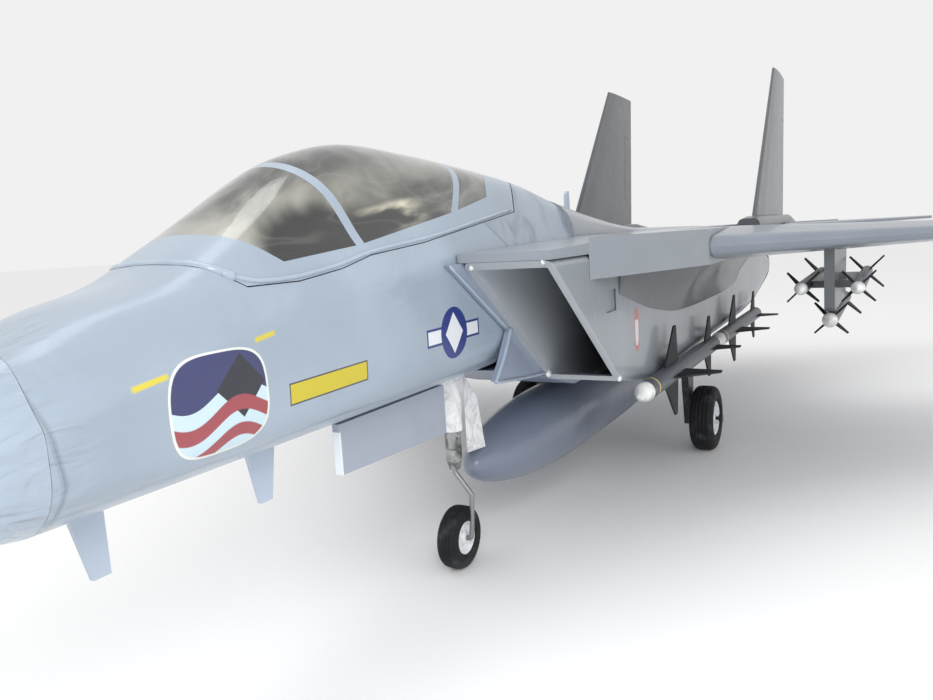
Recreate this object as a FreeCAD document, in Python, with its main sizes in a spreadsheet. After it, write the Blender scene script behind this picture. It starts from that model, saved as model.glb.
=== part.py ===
"""Radio-controlled twin-fan jet plane, 1:12 scale, as a parametric FreeCAD document.

Every piece is drawn in the builder's station frame, in millimetres: x to port, y aft from the tip of
the nose, z up from the floor. The document then slides the whole aircraft forward by half its length,
so that the origin is on the floor under the middle of the aircraft.
"""

import FreeCAD
import Part
import Sketcher
import math
import os
import re

from FreeCAD import Placement, Rotation, Vector

# ---------------------------------------------------------------------------------------------------
# Driving dimensions. "station" is a distance aft of the nose tip, "tail" a distance ahead of the tail
# end, "level" a height above the floor and "reach" a distance to port of the centre plane.
# ---------------------------------------------------------------------------------------------------

DIMENSIONS = {
    # the whole aircraft
    "overall_length": 1620,
    "wing_span": 1087,
    "hull_half_width": 51.5,
    # sheet, skins and fits
    "foam_wall": 5,
    "canopy_wall": 2.5,
    "glue_gap": 0.2,
    "hatch_gap": 0.6,
    "hinge_gap": 0.8,
    "running_gap": 0.05,
    # nose and cockpit
    "nose_tip_level": 192,
    "radome_station": 175,
    "radome_half_width": 46.5,
    "radome_top_level": 238,
    "belly_level": 163,
    "bay_floor": 7,
    "hull_end_station": 690,
    "tub_front_station": 292,
    "tub_length": 300,
    "tub_floor_level": 216,
    "tub_wall": 3,
    "tub_depth": 26,
    "tub_half_width": 40,
    "front_seat_station": 405,
    "seat_pitch": 92,
    "seat_width": 30,
    "seat_height": 66,
    # centre and rear fuselage
    "deck_level": 250,
    "deck_top_level": 262,
    "ramp_station": 545,
    "keel_station": 675,
    "keel_level": 128,
    "taper_station": 760,
    "fan_bay_station": 1200,
    "nacelle_tail": 180,
    "nacelle_reach": 119,
    "keel_half_width": 15,
    # intakes
    "lip_top_station": 470,
    "lip_bottom_station": 605,
    "lip_bottom_level": 146,
    "duct_split_station": 760,
    "splitter_thickness": 3,
    "splitter_lead": 18,
    "splitter_heel_station": 536,
    "splitter_heel_level": 196,
    "recess_station": 574,
    "recess_length": 24,
    "recess_height": 17,
    "recess_level": 204,
    "recess_depth": 2,
    # wings
    "wing_root_reach": 172,
    "wing_root_station": 685,
    "wing_root_chord": 438,
    "wing_sweep": 45,
    "wing_trailing_sweep": 12.3,
    "wing_root_level": 247,
    "wing_tip_level": 243,
    "wing_root_thickness": 30,
    "wing_tip_thickness": 9,
    "strake_station": 540,
    "spar_diameter": 6,
    "spar_level": 254.5,
    "spar_station": 930,
    "spar_reach": 235,
    "aileron_start_reach": 330,
    "aileron_length": 160,
    "aileron_chord": 42,
    "rod_diameter": 2,
    "rod_length": 26,
    # tail
    "boom_start_station": 1124,
    "boom_end_tail": 50,
    "boom_reach": 134,
    "boom_half_width": 14,
    "boom_top_level": 272,
    "fin_tail": 457,
    "fin_root_chord": 310,
    "fin_tip_level": 500,
    "fin_tip_chord": 130,
    "fin_tip_rake": 20,
    "fin_root_thickness": 11,
    "fin_tip_thickness": 6,
    "rudder_start_level": 318,
    "rudder_height": 112,
    "rudder_chord": 44,
    "stabilator_span": 718,
    "stabilator_root_reach": 151,
    "stabilator_tail": 290,
    "stabilator_root_chord": 232,
    "stabilator_tip_chord": 55,
    "stabilator_level": 253,
    "stabilator_root_thickness": 10,
    "stabilator_tip_thickness": 5,
    "stabilator_shaft_diameter": 6,
    "stabilator_shaft_tail": 150,
    "nozzle_length": 78,
    "nozzle_reach": 67,
    "nozzle_level": 190,
    "nozzle_base_radius": 47,
    "nozzle_mouth_radius": 39,
    "nozzle_wall": 3,
    "nozzle_land": 14,
    # fans
    "fan_station": 1215,
    "fan_level": 189,
    "fan_bore": 80,
    "fan_wall": 2,
    "fan_length": 56,
    "fan_motor_diameter": 36,
    "fan_tip_gap": 0.6,
    "fan_blade_count": 11,
    # nose gear
    "nose_gear_station": 536,
    "nose_wheel_diameter": 51,
    "nose_wheel_width": 17,
    "nose_hub_diameter": 27,
    "nose_tube_diameter": 13,
    "nose_tube_end_level": 83,
    "nose_cover_end_level": 115,
    "cover_wall": 1.2,
    "wire_diameter": 4,
    "axle_diameter": 4,
    # nose gear door, flap and blade antennas
    "door_station": 365,
    "door_length": 122,
    "door_depth": 38,
    "door_thickness": 5,
    "door_reach": 24,
    "blade_thickness": 3,
    # main gear
    "main_gear_station": 935,
    "main_gear_reach": 114,
    "main_wheel_diameter": 76,
    "main_wheel_width": 27,
    "main_hub_diameter": 40,
    "main_leg_width": 26,
    "main_leg_thickness": 8,
    # stores
    "tank_station": 561,
    "tank_nose_length": 180,
    "tank_middle_length": 150,
    "tank_tail_length": 205,
    "tank_diameter": 77,
    "tank_level": 76,
    "pylon_thickness": 9,
    "wing_pylon_reach": 255,
    "wing_pylon_station": 812,
    "wing_pylon_length": 185,
    "wing_pylon_end_level": 177,
    "body_missile_diameter": 17,
    "body_missile_length": 292,
    "body_missile_station": 617,
    "body_missile_pitch": 304,
    "body_missile_level": 131,
    "wing_missile_diameter": 12,
    "wing_missile_length": 240,
    "wing_missile_station": 796,
    "wing_missile_spread": 24,
    "wing_missile_level": 200,
    "low_missile_diameter": 14,
    "low_missile_level": 168.5,
    "fin_sheet": 1.6,
    # equipment
    "battery_length": 150,
    "battery_width": 38,
    "battery_height": 34,
    "battery_station": 235,
    "controller_width": 16,
    "servo_length": 23,
    "servo_width": 12,
    "servo_height": 23,
}

DOCUMENT = FreeCAD.newDocument("rc_jet_plane")
SHEET = DOCUMENT.addObject("Spreadsheet::Sheet", "dims")
for row, (alias, number) in enumerate(DIMENSIONS.items(), start=1):
    SHEET.set(f"A{row}", alias)
    SHEET.set(f"B{row}", str(number))
    SHEET.setAlias(f"B{row}", alias)
DOCUMENT.recompute()

WORD = re.compile(r"[a-z_]+")
NODES = {}


def bound(expression):
    """The sheet's form of an expression, with each alias read from dims."""
    return WORD.sub(lambda found: ("dims." if found[0] in DIMENSIONS else "") + found[0], str(expression))


def size(expression):
    """The present value of an expression, in millimetres or degrees."""
    return float(SHEET.evalExpression(bound(expression)))


NOSE = Placement(Vector(0, -size("overall_length") / 2, 0), Rotation())


# ---------------------------------------------------------------------------------------------------
# Ways of making a piece
# ---------------------------------------------------------------------------------------------------


def keep(label, piece):
    """Names a finished document object as one node of the aircraft."""
    piece.Label = label
    NODES[label] = piece
    return piece


def shaped(label, shape):
    """A piece whose form neither a sketch nor a primitive gives: a loft or a cut of lofts."""
    piece = DOCUMENT.addObject("Part::Feature", label)
    piece.Shape = shape
    piece.Placement = NOSE
    return keep(label, piece)


def starboard(label):
    """The same piece on the other side of the centre plane."""
    piece = DOCUMENT.addObject("Part::Mirroring", label.replace("port", "starboard"))
    piece.Source = NODES[label]
    piece.Normal = Vector(1, 0, 0)
    return keep(label.replace("port", "starboard"), piece)


def primitive(kind, name, at, turn=None, **sizes):
    """A Part primitive with its sizes and its place bound to the sheet."""
    piece = DOCUMENT.addObject("Part::" + kind, name)
    if turn:
        piece.Placement = Placement(Vector(), Rotation(turn[0], turn[1]))
    for word, expression in sizes.items():
        piece.setExpression(word, bound(expression))
    piece.setExpression("Placement.Base.x", bound(at[0]))
    piece.setExpression("Placement.Base.y", bound(f"{at[1]} - overall_length / 2"))
    piece.setExpression("Placement.Base.z", bound(at[2]))
    return piece


ACROSS = (Vector(0, 1, 0), 90)
AFT = (Vector(1, 0, 0), -90)


def cut(name, base, tool):
    piece = DOCUMENT.addObject("Part::Cut", name)
    piece.Base = base
    piece.Tool = tool
    return piece


def fuse(name, *pieces):
    piece = DOCUMENT.addObject("Part::MultiFuse", name)
    piece.Shapes = list(pieces)
    return piece


def together(name, *pieces):
    """Separate solids that share one node."""
    piece = DOCUMENT.addObject("Part::Compound", name)
    piece.Links = list(pieces)
    return piece


def plate(name, plane, outline, thickness, start):
    """A PartDesign body: a closed outline of bound points on one origin plane, padded to a thickness."""
    body = DOCUMENT.addObject("PartDesign::Body", name)
    body.setExpression("Placement.Base.y", bound("-overall_length / 2"))
    sketch = body.newObject("Sketcher::SketchObject", name + "_outline")
    origin_plane = next(part for part in body.Origin.OriginFeatures if part.Role == plane)
    sketch.AttachmentSupport = (origin_plane, [""])
    sketch.MapMode = "FlatFace"
    sketch.setExpression("AttachmentOffset.Base.z", bound(start))
    corners = [Vector(size(a), size(b), 0) for a, b in outline]
    for index, corner in enumerate(corners):
        sketch.addGeometry(Part.LineSegment(corner, corners[(index + 1) % len(corners)]), False)
    for index, (across, up) in enumerate(outline):
        after = (index + 1) % len(corners)
        sketch.addConstraint(Sketcher.Constraint("Coincident", index, 2, after, 1))
        for kind, expression in (("DistanceX", across), ("DistanceY", up)):
            rule = sketch.addConstraint(Sketcher.Constraint(kind, -1, 1, index, 1, size(expression)))
            sketch.setExpression(f"Constraints[{rule}]", bound(expression))
    pad = body.newObject("PartDesign::Pad", name + "_pad")
    pad.Profile = sketch
    pad.setExpression("Length", bound(thickness))
    body.Tip = pad
    return body


def side_prism(points, reach, start=None):
    """A prism from a side outline of (station, level) points, across the hull or out to port."""
    first = -reach if start is None else start
    corners = [Vector(first, station, level) for station, level in points]
    face = Part.Face(Part.makePolygon(corners + corners[:1]))
    return face.extrude(Vector(reach - first, 0, 0))


def plan_prism(points, low, high):
    """A prism from a plan outline of (reach, station) points, between two levels."""
    corners = [Vector(reach, station, low) for reach, station in points]
    face = Part.Face(Part.makePolygon(corners + corners[:1]))
    return face.extrude(Vector(0, 0, high - low))


def rounded_loop(station, inner, outer, low, high, radius):
    """A rectangle with round corners across the aircraft: four sides and four quarter arcs."""
    radius = min(radius, 0.49 * (outer - inner), 0.49 * (high - low))
    centres = ((outer - radius, high - radius), (inner + radius, high - radius),
               (inner + radius, low + radius), (outer - radius, low + radius))
    arcs = []
    for quarter, (reach, level) in enumerate(centres):
        angles = [math.radians(90 * quarter + step) for step in (0, 45, 90)]
        points = [Vector(reach + radius * math.cos(a), station, level + radius * math.sin(a)) for a in angles]
        arcs.append(Part.Arc(*points).toShape())
    edges = []
    for arc, following in zip(arcs, arcs[1:] + arcs[:1]):
        edges += [arc, Part.makeLine(arc.Vertexes[-1].Point, following.Vertexes[0].Point)]
    return Part.Wire(edges)


def rounded_body(stations, inset=0):
    """A straight-sided body through rounded rectangles; each row is (station, inner, outer, low, high, radius)."""
    loops = [rounded_loop(s, i + inset, o - inset, l + inset, t - inset, max(r - inset, 1))
             for s, i, o, l, t, r in stations]
    return Part.makeLoft(loops, True, True)


def faired(rows, step):
    """Frames at an even spacing through a few lofting frames, faired by a cubic that never overshoots."""
    places = [row[0] for row in rows]
    slopes = []
    for column in zip(*rows):
        rises = [(b - a) / (v - u) for a, b, u, v in zip(column, column[1:], places, places[1:])]
        inner = [0 if p * q <= 0 else 2 * p * q / (p + q) for p, q in zip(rises, rises[1:])]
        slopes.append([rises[0]] + inner + [rises[-1]])
    frames = []
    for index, (row, after) in enumerate(zip(rows, rows[1:])):
        length = after[0] - row[0]
        count = max(round(length / step), 1)
        for turn in range(count):
            f = turn / count
            start, rise, end, fall = (1 + 2 * f) * (1 - f) ** 2, f * (1 - f) ** 2, f * f * (3 - 2 * f), f * f * (f - 1)
            frames.append(tuple(start * a + rise * length * slope[index] + end * b + fall * length * slope[index + 1]
                                for a, b, slope in zip(row, after, slopes)))
    return frames + [tuple(rows[-1])]


FRAME_SPACING = 30


AEROFOIL = ((0.0125, 0.21), (0.05, 0.33), (0.15, 0.45), (0.35, 0.5), (0.6, 0.41), (0.8, 0.24))
TRAILING_EDGE = 0.05


def aerofoil(nose, chord, thickness, upward):
    """A symmetrical section: nose point, chord running aft, thickness across it."""
    aft = Vector(0, 1, 0)
    rows = AEROFOIL + ((1.0, TRAILING_EDGE),)
    upper, lower = ([nose + aft * (chord * x) + upward * (sign * thickness * y) for x, y in rows]
                    for sign in (1, -1))
    skins = []
    for points in (upper, lower):
        curve = Part.BSplineCurve()
        curve.interpolate([nose] + points)
        skins.append(curve.toShape())
    return Part.Wire([skins[0], Part.makeLine(upper[-1], lower[-1]), skins[1]])


def panel(root, tip, upward):
    """A wing, fin or stabilator: straight loft between a root and a tip section."""
    return Part.makeLoft([aerofoil(*root, upward), aerofoil(*tip, upward)], True, True)


def hinged(whole, start, end, upward, gap, chord):
    """Splits a trailing-edge surface off a panel: its front is bevelled both ways from the hinge line."""
    along = (end - start).normalize()
    aft = along.cross(upward) if along.cross(upward).y > 0 else upward.cross(along)
    span = (end - start).Length
    tall = 40
    bevel = tall * math.tan(math.radians(30))
    far = chord + 30

    def slab(corners, first, last):
        loop = [start + along * first + aft * a + upward * b for a, b in corners]
        return Part.Face(Part.makePolygon(loop + loop[:1])).extrude(along * (last - first))

    mover = slab(((0, 0), (bevel, tall), (far, tall), (far, -tall), (bevel, -tall)), 0, span)
    room = slab(((-gap, tall), (far, tall), (far, -tall), (-gap, -tall)), -gap, span + gap)
    return whole.common(mover), whole.cut(room)


def rod(start, end, radius):
    return Part.makeCylinder(radius, (end - start).Length, start, end - start)


def bent_rod(points, radius):
    """A bent wire: straight runs with a ball at each bend."""
    runs = [rod(first, last, radius) for first, last in zip(points, points[1:])]
    balls = [Part.makeSphere(radius, point) for point in points[1:-1]]
    return runs[0].multiFuse(runs[1:] + balls).removeSplitter()


# ---------------------------------------------------------------------------------------------------
# Nose, hull and canopy
# ---------------------------------------------------------------------------------------------------


def hull_loop(station, half, shoulder, crown_half, crown, top, inset=0):
    """One closed curve round the hull: round belly, upright sides, and a crown narrower than the sides.

    The lowest point is a little below the belly, which a flat cut then makes level.
    """
    belly = size("belly_level") - 1
    rise = top - crown
    side = belly + 0.7 * half
    right = ((0.42 * half, belly + 0.035 * half), (0.78 * half, belly + 0.2 * half),
             (0.95 * half, belly + 0.415 * half), (half, side),
             (half, 0.5 * (side + shoulder)), (half, shoulder),
             (0.55 * half + 0.45 * crown_half, 0.5 * (shoulder + crown)),
             (crown_half, crown), (0.82 * crown_half, crown + 0.6 * rise), (0.45 * crown_half, top - 0.1 * rise))
    middle = 0.5 * (belly + top)
    across = 1 - inset / half
    upright = 1 - inset / (top - middle)
    ring = [(0, belly)] + list(right) + [(0, top)] + [(-a, b) for a, b in reversed(right)]
    curve = Part.BSplineCurve()
    curve.interpolate([Vector(a * across, station, middle + (b - middle) * upright) for a, b in ring], True)
    return Part.Wire(curve.toShape())


def hull_stations():
    """Station, half width, shoulder level, crown half width, crown level and top level of each frame."""
    half = size("hull_half_width - 5 * glue_gap")
    joint = size("radome_station")
    return (
        (joint, size("radome_half_width"), 205, 36, 224, size("radome_top_level")),
        (joint + 48, half - 2.5, 215, 38, 238, 252),
        (joint + 87, half - 1.5, 226, 40, 250, 264),
        (joint + 109, half - 1.5, 232, 41, 256, 277),
        (joint + 140, half - 1, 238, 41.5, 262, 296),
        (joint + 175, half - 0.5, 243, 42, 266, 315),
        (joint + 243, half, 250, 42.5, 276, 330),
        (joint + 337, half, 257, 42.5, 289, 325),
        (joint + 434, half, 258, 42, 290, 315),
        (size("hull_end_station"), half, 256, 42, 280, 299),
    )


def hull_loft(inset=0):
    return Part.makeLoft([hull_loop(*row, inset) for row in faired(hull_stations(), FRAME_SPACING)], True, False)


def hatch_tool(gap):
    """Everything above the canopy's seam: a side outline met with a plan outline that ends in a point aft."""
    joint = size("radome_station")
    seam = ((65, 277), (109, 251), (143, 251), (177, 255), (206, 261), (262, 266), (342, 277), (404, 285), (525, 285))
    side = [(joint + station, level - gap) for station, level in seam] + [(joint + 525, 400), (joint + 55, 400)]
    side[0] = (joint + 65 - gap, 277 - gap)
    plan = ((-60 - gap, joint + 40), (60 + gap, joint + 40), (60 + gap, joint + 378 + gap), (44 + gap, joint + 404 + gap),
            (0, joint + 475 + 2 * gap), (-44 - gap, joint + 404 + gap), (-60 - gap, joint + 378 + gap))
    return side_prism(side, 70).common(plan_prism(plan, 200, 420))


def bar_prism(foot, top, width, joint):
    """A canopy bow or arch: a leaning slab between its foot and its top in the side view."""
    lean = Vector(0, top[0] - foot[0], top[1] - foot[1]).normalize()
    thick = Vector(0, lean.z, -lean.y) * (width / 2)
    low = Vector(0, joint + foot[0], foot[1]) - lean * 20
    high = Vector(0, joint + top[0], top[1]) + lean * 20
    corners = [low - thick, low + thick, high + thick, high - thick]
    return side_prism([(corner.y, corner.z) for corner in corners], 70)


def pane_tool():
    """The glazed part of the canopy, between the frame's rails and without its bow and arch."""
    joint = size("radome_station")
    side = ((75, 297), (137, 261), (200, 267), (309, 285), (369, 297), (445, 301), (445, 400), (75, 400))
    plan = ((-60, 50), (60, 50), (60, 331), (38, 369), (0, 434), (-38, 369), (-60, 331))
    glazed = side_prism([(joint + a, b) for a, b in side], 70)
    glazed = glazed.common(plan_prism([(a, joint + b) for a, b in plan], 200, 420))
    bow = bar_prism((200, 267), (173, 314), 7, joint)
    arch = bar_prism((312, 287), (337, 325), 7, joint)
    return glazed.cut(bow).cut(arch)


def make_nose_and_canopy():
    joint = size("radome_station")
    gap = size("glue_gap")
    tip_level = size("nose_tip_level")
    base = hull_stations()[0]

    def radome_loop(station):
        """The joint's own curve, shrunk towards the tip as a slender ogive."""
        share = max(station / joint, 0.009) ** 0.75
        loop = hull_loop(*base)
        centre = 0.5 * (size("belly_level") + base[5])
        matrix = FreeCAD.Matrix()
        matrix.scale(share, 1, share)
        matrix.move(Vector(0, station - joint, tip_level + (centre - tip_level) * share - centre * share))
        return loop.transformGeometry(matrix)

    shares = (0, 0.04, 0.1, 0.2, 0.32, 0.46, 0.6, 0.74, 0.88)
    loops = [radome_loop(joint * share) for share in shares] + [radome_loop(joint - gap)]
    end, belly = size("hull_end_station"), size("belly_level")
    below = side_prism([(0, belly), (end, belly), (end, 100), (0, 100)], 70)
    shaped("radome", Part.makeLoft(loops, True, False).cut(below))

    outer = hull_loft()
    wall = size("foam_wall")
    bay = Part.makeBox(140, end - joint - 2 * wall, 400, Vector(-70, joint + wall, size("belly_level + bay_floor")))
    shell = outer.cut(below).cut(hull_loft(wall).common(bay)).cut(hatch_tool(size("hatch_gap")))
    tube_hole = Part.makeCylinder(size("nose_tube_diameter / 2 + glue_gap"), 40,
                                  Vector(0, size("nose_gear_station"), belly - 10))
    shaped("forward_fuselage", shell.cut(tube_hole))

    hatch = outer.cut(hull_loft(size("canopy_wall"))).common(hatch_tool(0))
    panes = pane_tool()
    shaped("canopy_frame", hatch.cut(panes))
    shaped("canopy_glass", hatch.common(panes))


def make_cockpit():
    """An open-topped tub with an instrument hood, and two ejection seats."""
    front, length = "tub_front_station", "tub_length"
    outer = primitive("Box", "tub_block", ("-tub_half_width", front, "tub_floor_level"),
                      Length="2 * tub_half_width", Width=length, Height="tub_depth")
    inner = primitive("Box", "tub_hollow", ("tub_wall - tub_half_width", f"{front} + tub_wall", "tub_floor_level + tub_wall"),
                      Length="2 * (tub_half_width - tub_wall)", Width=f"{length} - 2 * tub_wall", Height="tub_depth")
    shell = cut("tub_shell", outer, inner)
    hoods = []
    for index, ahead in enumerate(("50", "50 + seat_pitch")):
        hoods.append(primitive("Box", f"hood_{index}", ("tub_wall - tub_half_width", f"front_seat_station + {ahead} - 92",
                                                        "tub_floor_level + tub_wall"),
                               Length="2 * (tub_half_width - tub_wall)", Width="14", Height="tub_depth + 4"))
    keep("cockpit_tub", fuse("cockpit_tub", shell, *hoods))
    seats = []
    for index in range(2):
        at = f"front_seat_station + {index} * seat_pitch"
        cushion = primitive("Box", f"seat_cushion_{index}", ("-seat_width / 2", at, "tub_floor_level + tub_wall + glue_gap"),
                            Length="seat_width", Width="30", Height="14")
        back = primitive("Box", f"seat_back_{index}", ("-seat_width / 2", f"{at} + 26", "tub_floor_level + tub_wall + glue_gap"),
                         Length="seat_width", Width="9", Height="seat_height")
        head = primitive("Box", f"seat_head_{index}", ("-seat_width / 3", f"{at} + 21", "tub_floor_level + seat_height - 16"),
                         Length="2 * seat_width / 3", Width="8", Height="16")
        seats.append(fuse(f"seat_{index}", cushion, back, head))
    keep("pilot_seats", together("pilot_seats", *seats))


# ---------------------------------------------------------------------------------------------------
# Centre and rear fuselage
# ---------------------------------------------------------------------------------------------------


def nacelle_end():
    return size("overall_length - nacelle_tail")


def keel_width(station):
    """Half width of the keel body between the ducts: full to the taper, then narrowing to the fan bays."""
    full, narrow = size("hull_half_width"), size("keel_half_width")
    first, last = size("taper_station"), size("fan_bay_station")
    share = min(max((station - first) / (last - first), 0), 1)
    return full + (narrow - full) * share


def duct_rows():
    """Frames of the intake duct and nacelle: station, inner and outer reach, low and high level, corner radius."""
    outer, deck = size("nacelle_reach"), size("deck_level")
    keel, lip = size("keel_level"), size("lip_bottom_level")
    start, split = size("lip_top_station") - 12, size("duct_split_station")
    bay, end = size("fan_bay_station"), nacelle_end()
    clear = size("glue_gap + splitter_thickness")
    bore = size("nozzle_base_radius + 3")
    centre, level = size("nozzle_reach"), size("nozzle_level")
    intake = (
        (start, keel_width(start) + clear, outer, lip, deck, 5),
        (size("lip_bottom_station"), keel_width(start) + clear, outer, lip, deck, 5),
        (size("keel_station") + 25, keel_width(start) + clear, outer, keel, deck, 8),
        (split, keel_width(split) + clear, outer, keel, deck, 10),
    )
    nacelle = (
        (split, keel_width(split) + clear, outer, keel, deck, 10),
        (bay, keel_width(bay) + clear, outer, keel, deck, 26),
        (bay + 100, keel_width(bay) + clear, outer, keel, deck, 36),
        (end, centre - bore, centre + bore, level - bore, level + bore, bore),
    )
    return intake, nacelle


def make_ducts():
    """Open ducts: the raked intake, and the nacelle that carries the fan and ends at the nozzle."""
    wall = size("foam_wall")
    intake, nacelle = duct_rows()
    top, bottom = size("lip_top_station"), size("lip_bottom_station")
    deck, lip = size("deck_level"), size("lip_bottom_level")
    slope = (bottom - top) / (deck - lip)
    rake = side_prism([(top - slope * 20, deck + 20), (bottom + slope * 40, lip - 40), (top - 90, lip - 40), (top - 90, deck + 20)], 200)
    hollow = rounded_body(intake, wall)
    box = rounded_body(intake).cut(hollow).cut(rake)
    recess = Part.makeBox(size("recess_depth"), size("recess_length"), size("recess_height"),
                          Vector(size("nacelle_reach - recess_depth"), size("recess_station"), size("recess_level")))
    shaped("intake_port", box.cut(recess))
    rear = rounded_body(nacelle)
    hollow = rounded_body(nacelle, wall)
    shaped("nacelle_port", rear.cut(hollow))
    for label in ("intake_port", "nacelle_port"):
        starboard(label)


def make_splitters():
    """The flat ramp that stands ahead of each intake, against the hull, with a curved heel at its foot."""
    heel, foot = "splitter_heel_station", "splitter_heel_level"
    outline = (("lip_top_station - splitter_lead", "deck_level"), (heel, foot), (f"{heel} - 7", f"{foot} - 10"),
               (f"{heel} - 17", f"{foot} - 23"), (f"{heel} - 28", f"{foot} - 34"),
               ("lip_bottom_station + 22", "lip_bottom_level + 4"), ("keel_station + 25", "lip_bottom_level + 4"),
               ("keel_station + 25", "deck_level"))
    ramp = plate("splitter_plate_port", "YZ_Plane", outline, "splitter_thickness", "hull_half_width + glue_gap / 2")
    keep("splitter_port", ramp)
    starboard("splitter_port")


def make_keel():
    """The body between the two ducts: a ramp down from the belly, a flat keel, and a taper to the tail."""
    belly, keel, deck = size("belly_level"), size("keel_level"), size("deck_level")
    ramp, flat = size("ramp_station"), size("keel_station")
    start, end = size("hull_end_station"), nacelle_end()
    gap = size("glue_gap")
    side = [(ramp, belly - gap), (flat, keel), (end - 120, keel), (end, keel + 30), (end, deck - gap),
            (start + gap, deck - gap), (start + gap, belly - gap)]
    taper, bay = size("taper_station"), size("fan_bay_station")
    wide, narrow = size("hull_half_width"), size("keel_half_width")
    plan = [(-wide, ramp - 5), (wide, ramp - 5), (wide, taper), (narrow, bay), (narrow, end + 5),
            (-narrow, end + 5), (-narrow, bay), (-wide, taper)]
    wall = size("foam_wall")
    hollow = Part.makeBox(2 * (wide - wall), taper - flat, deck - keel - 2 * wall, Vector(wall - wide, flat, keel + wall))
    tail = plan_prism([(wall - wide, taper), (wide - wall, taper), (narrow - wall, bay), (wall - narrow, bay)],
                      keel + wall, deck - wall)
    shaped("centre_fuselage", side_prism(side, 70).common(plan_prism(plan, 100, 300)).cut(hollow.fuse(tail)))


def spine_loop(station, half, edge, top):
    """Flat underside, short edges that lean in a little, and a rounded back."""
    deck = size("deck_level")
    lean = 0.99
    crown = []
    for share in (-1, -0.95, -0.8, -0.55, -0.25, 0, 0.25, 0.55, 0.8, 0.95, 1):
        crown.append(Vector(lean * half * share, station, edge + (top - edge) * (1 - abs(share) ** 2.6) ** (1 / 2.6)))
    curve = Part.BSplineCurve()
    curve.interpolate(crown)
    left, right = Vector(-half, station, deck), Vector(half, station, deck)
    return Part.Wire([Part.makeLine(left, crown[0]), curve.toShape(), Part.makeLine(crown[-1], right),
                      Part.makeLine(right, left)])


def make_spine():
    half = size("hull_half_width")
    edge = size("deck_top_level")
    start, end = size("hull_end_station + glue_gap"), nacelle_end()
    rows = ((start, half, edge - 3, edge + 37), (start + 95, half, edge, edge + 21), (start + 233, half, edge, edge + 5),
            (size("fan_bay_station"), half, edge, edge + 1.5), (end, half, edge - 6, edge - 4))
    back = Part.makeLoft([spine_loop(*row) for row in faired(rows, 2 * FRAME_SPACING)], True, False)
    wall, hollow_length = size("foam_wall"), 200
    inner_rows = ((start + wall, half - wall, edge - 3 - wall, edge + 37 - wall),
                  (start + 95, half - wall, edge - wall, edge + 21 - wall),
                  (start + hollow_length, half - wall, edge - wall, edge + 8 - wall))
    above_deck = Part.makeBox(2 * half, hollow_length, 80, Vector(-half, start, size("deck_level") + wall))
    hollow = Part.makeLoft([spine_loop(*row) for row in faired(inner_rows, 2 * FRAME_SPACING)], True, False)
    slot = Part.makeBox(4, 14, 30, Vector(-2, start + 108, edge + 8))
    shaped("spine_deck", back.cut(hollow.common(above_deck)).cut(slot).cut(spar_bore()))


def spar_bore():
    reach = size("spar_reach") + 1
    radius = size("spar_diameter / 2 + running_gap")
    station, level = size("spar_station"), size("spar_level")
    return Part.makeCylinder(radius, 2 * reach, Vector(-reach, station, level), Vector(1, 0, 0))


def make_gloves():
    """The skin over each duct, and the wing stub outboard of it, whose upright leading edge sweeps out."""
    inner, duct = size("hull_half_width + glue_gap"), size("nacelle_reach + glue_gap")
    deck, top = size("deck_level + glue_gap"), size("deck_top_level")
    front, end = size("lip_top_station"), nacelle_end()
    side = [(front, deck), (front, deck + 6), (front + 215, top), (end - 240, top), (end, top - 6), (end, deck)]
    skin = side_prism(side, duct, inner)
    root = size("wing_root_reach")
    upward = Vector(0, 0, 1)
    thick = size("wing_root_thickness")
    level = size("wing_root_level")
    nose = size("strake_station")
    tail = size("wing_root_station + wing_root_chord")
    tail_inner = tail - (root - duct) * math.tan(math.radians(size("wing_trailing_sweep")))
    stub = panel((Vector(duct, nose, level), tail_inner - nose, thick),
                 (Vector(root, size("wing_root_station"), level), size("wing_root_chord"), thick), upward)
    front_root = size("wing_root_station")
    blunt = plan_prism([(duct, nose), (root, front_root), (root, front_root + 90), (duct, front_root + 90)],
                       level - thick / 2, level + thick / 2)
    shaped("glove_port", skin.multiFuse([stub, blunt]).removeSplitter().cut(spar_bore()))
    starboard("glove_port")


def make_conformal_tanks():
    """The long hollow-sided fairing in the corner between the duct's side and the wing."""
    inner = size("nacelle_reach + glue_gap")
    low, high = size("body_missile_level + 49"), size("wing_root_level - wing_root_thickness / 2 - 4 * glue_gap")
    rows = ((605, 2, 36), (700, 22, 14), (800, 40, 2), (900, 46, 0), (1000, 44, 0), (1090, 32, 4), (1160, 5, 26))
    loops = []
    for station, bulge, trim in faired(rows, FRAME_SPACING):
        bottom = low + trim
        rise = high - bottom
        foot, top = Vector(inner, station, bottom), Vector(inner + bulge, station, high)
        curve = Part.BSplineCurve()
        curve.interpolate([foot, Vector(inner + 0.28 * bulge, station, bottom + 0.4 * rise),
                           Vector(inner + 0.66 * bulge, station, bottom + 0.76 * rise), top])
        corner = Vector(inner, station, high)
        loops.append(Part.Wire([curve.toShape(), Part.makeLine(top, corner), Part.makeLine(corner, foot)]))
    shaped("conformal_tank_port", Part.makeLoft(loops, True, False))
    starboard("conformal_tank_port")


# ---------------------------------------------------------------------------------------------------
# Wings and tail
# ---------------------------------------------------------------------------------------------------


def wing_point(reach, trailing=False):
    """A point on the wing's leading or trailing edge."""
    out = reach - size("wing_root_reach")
    share = out / (size("wing_span / 2") - size("wing_root_reach"))
    level = size("wing_root_level") + (size("wing_tip_level") - size("wing_root_level")) * share
    if trailing:
        station = size("wing_root_station + wing_root_chord") + out * math.tan(math.radians(size("wing_trailing_sweep")))
    else:
        station = size("wing_root_station") + out * math.tan(math.radians(size("wing_sweep")))
    return Vector(reach, station, level)


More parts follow.
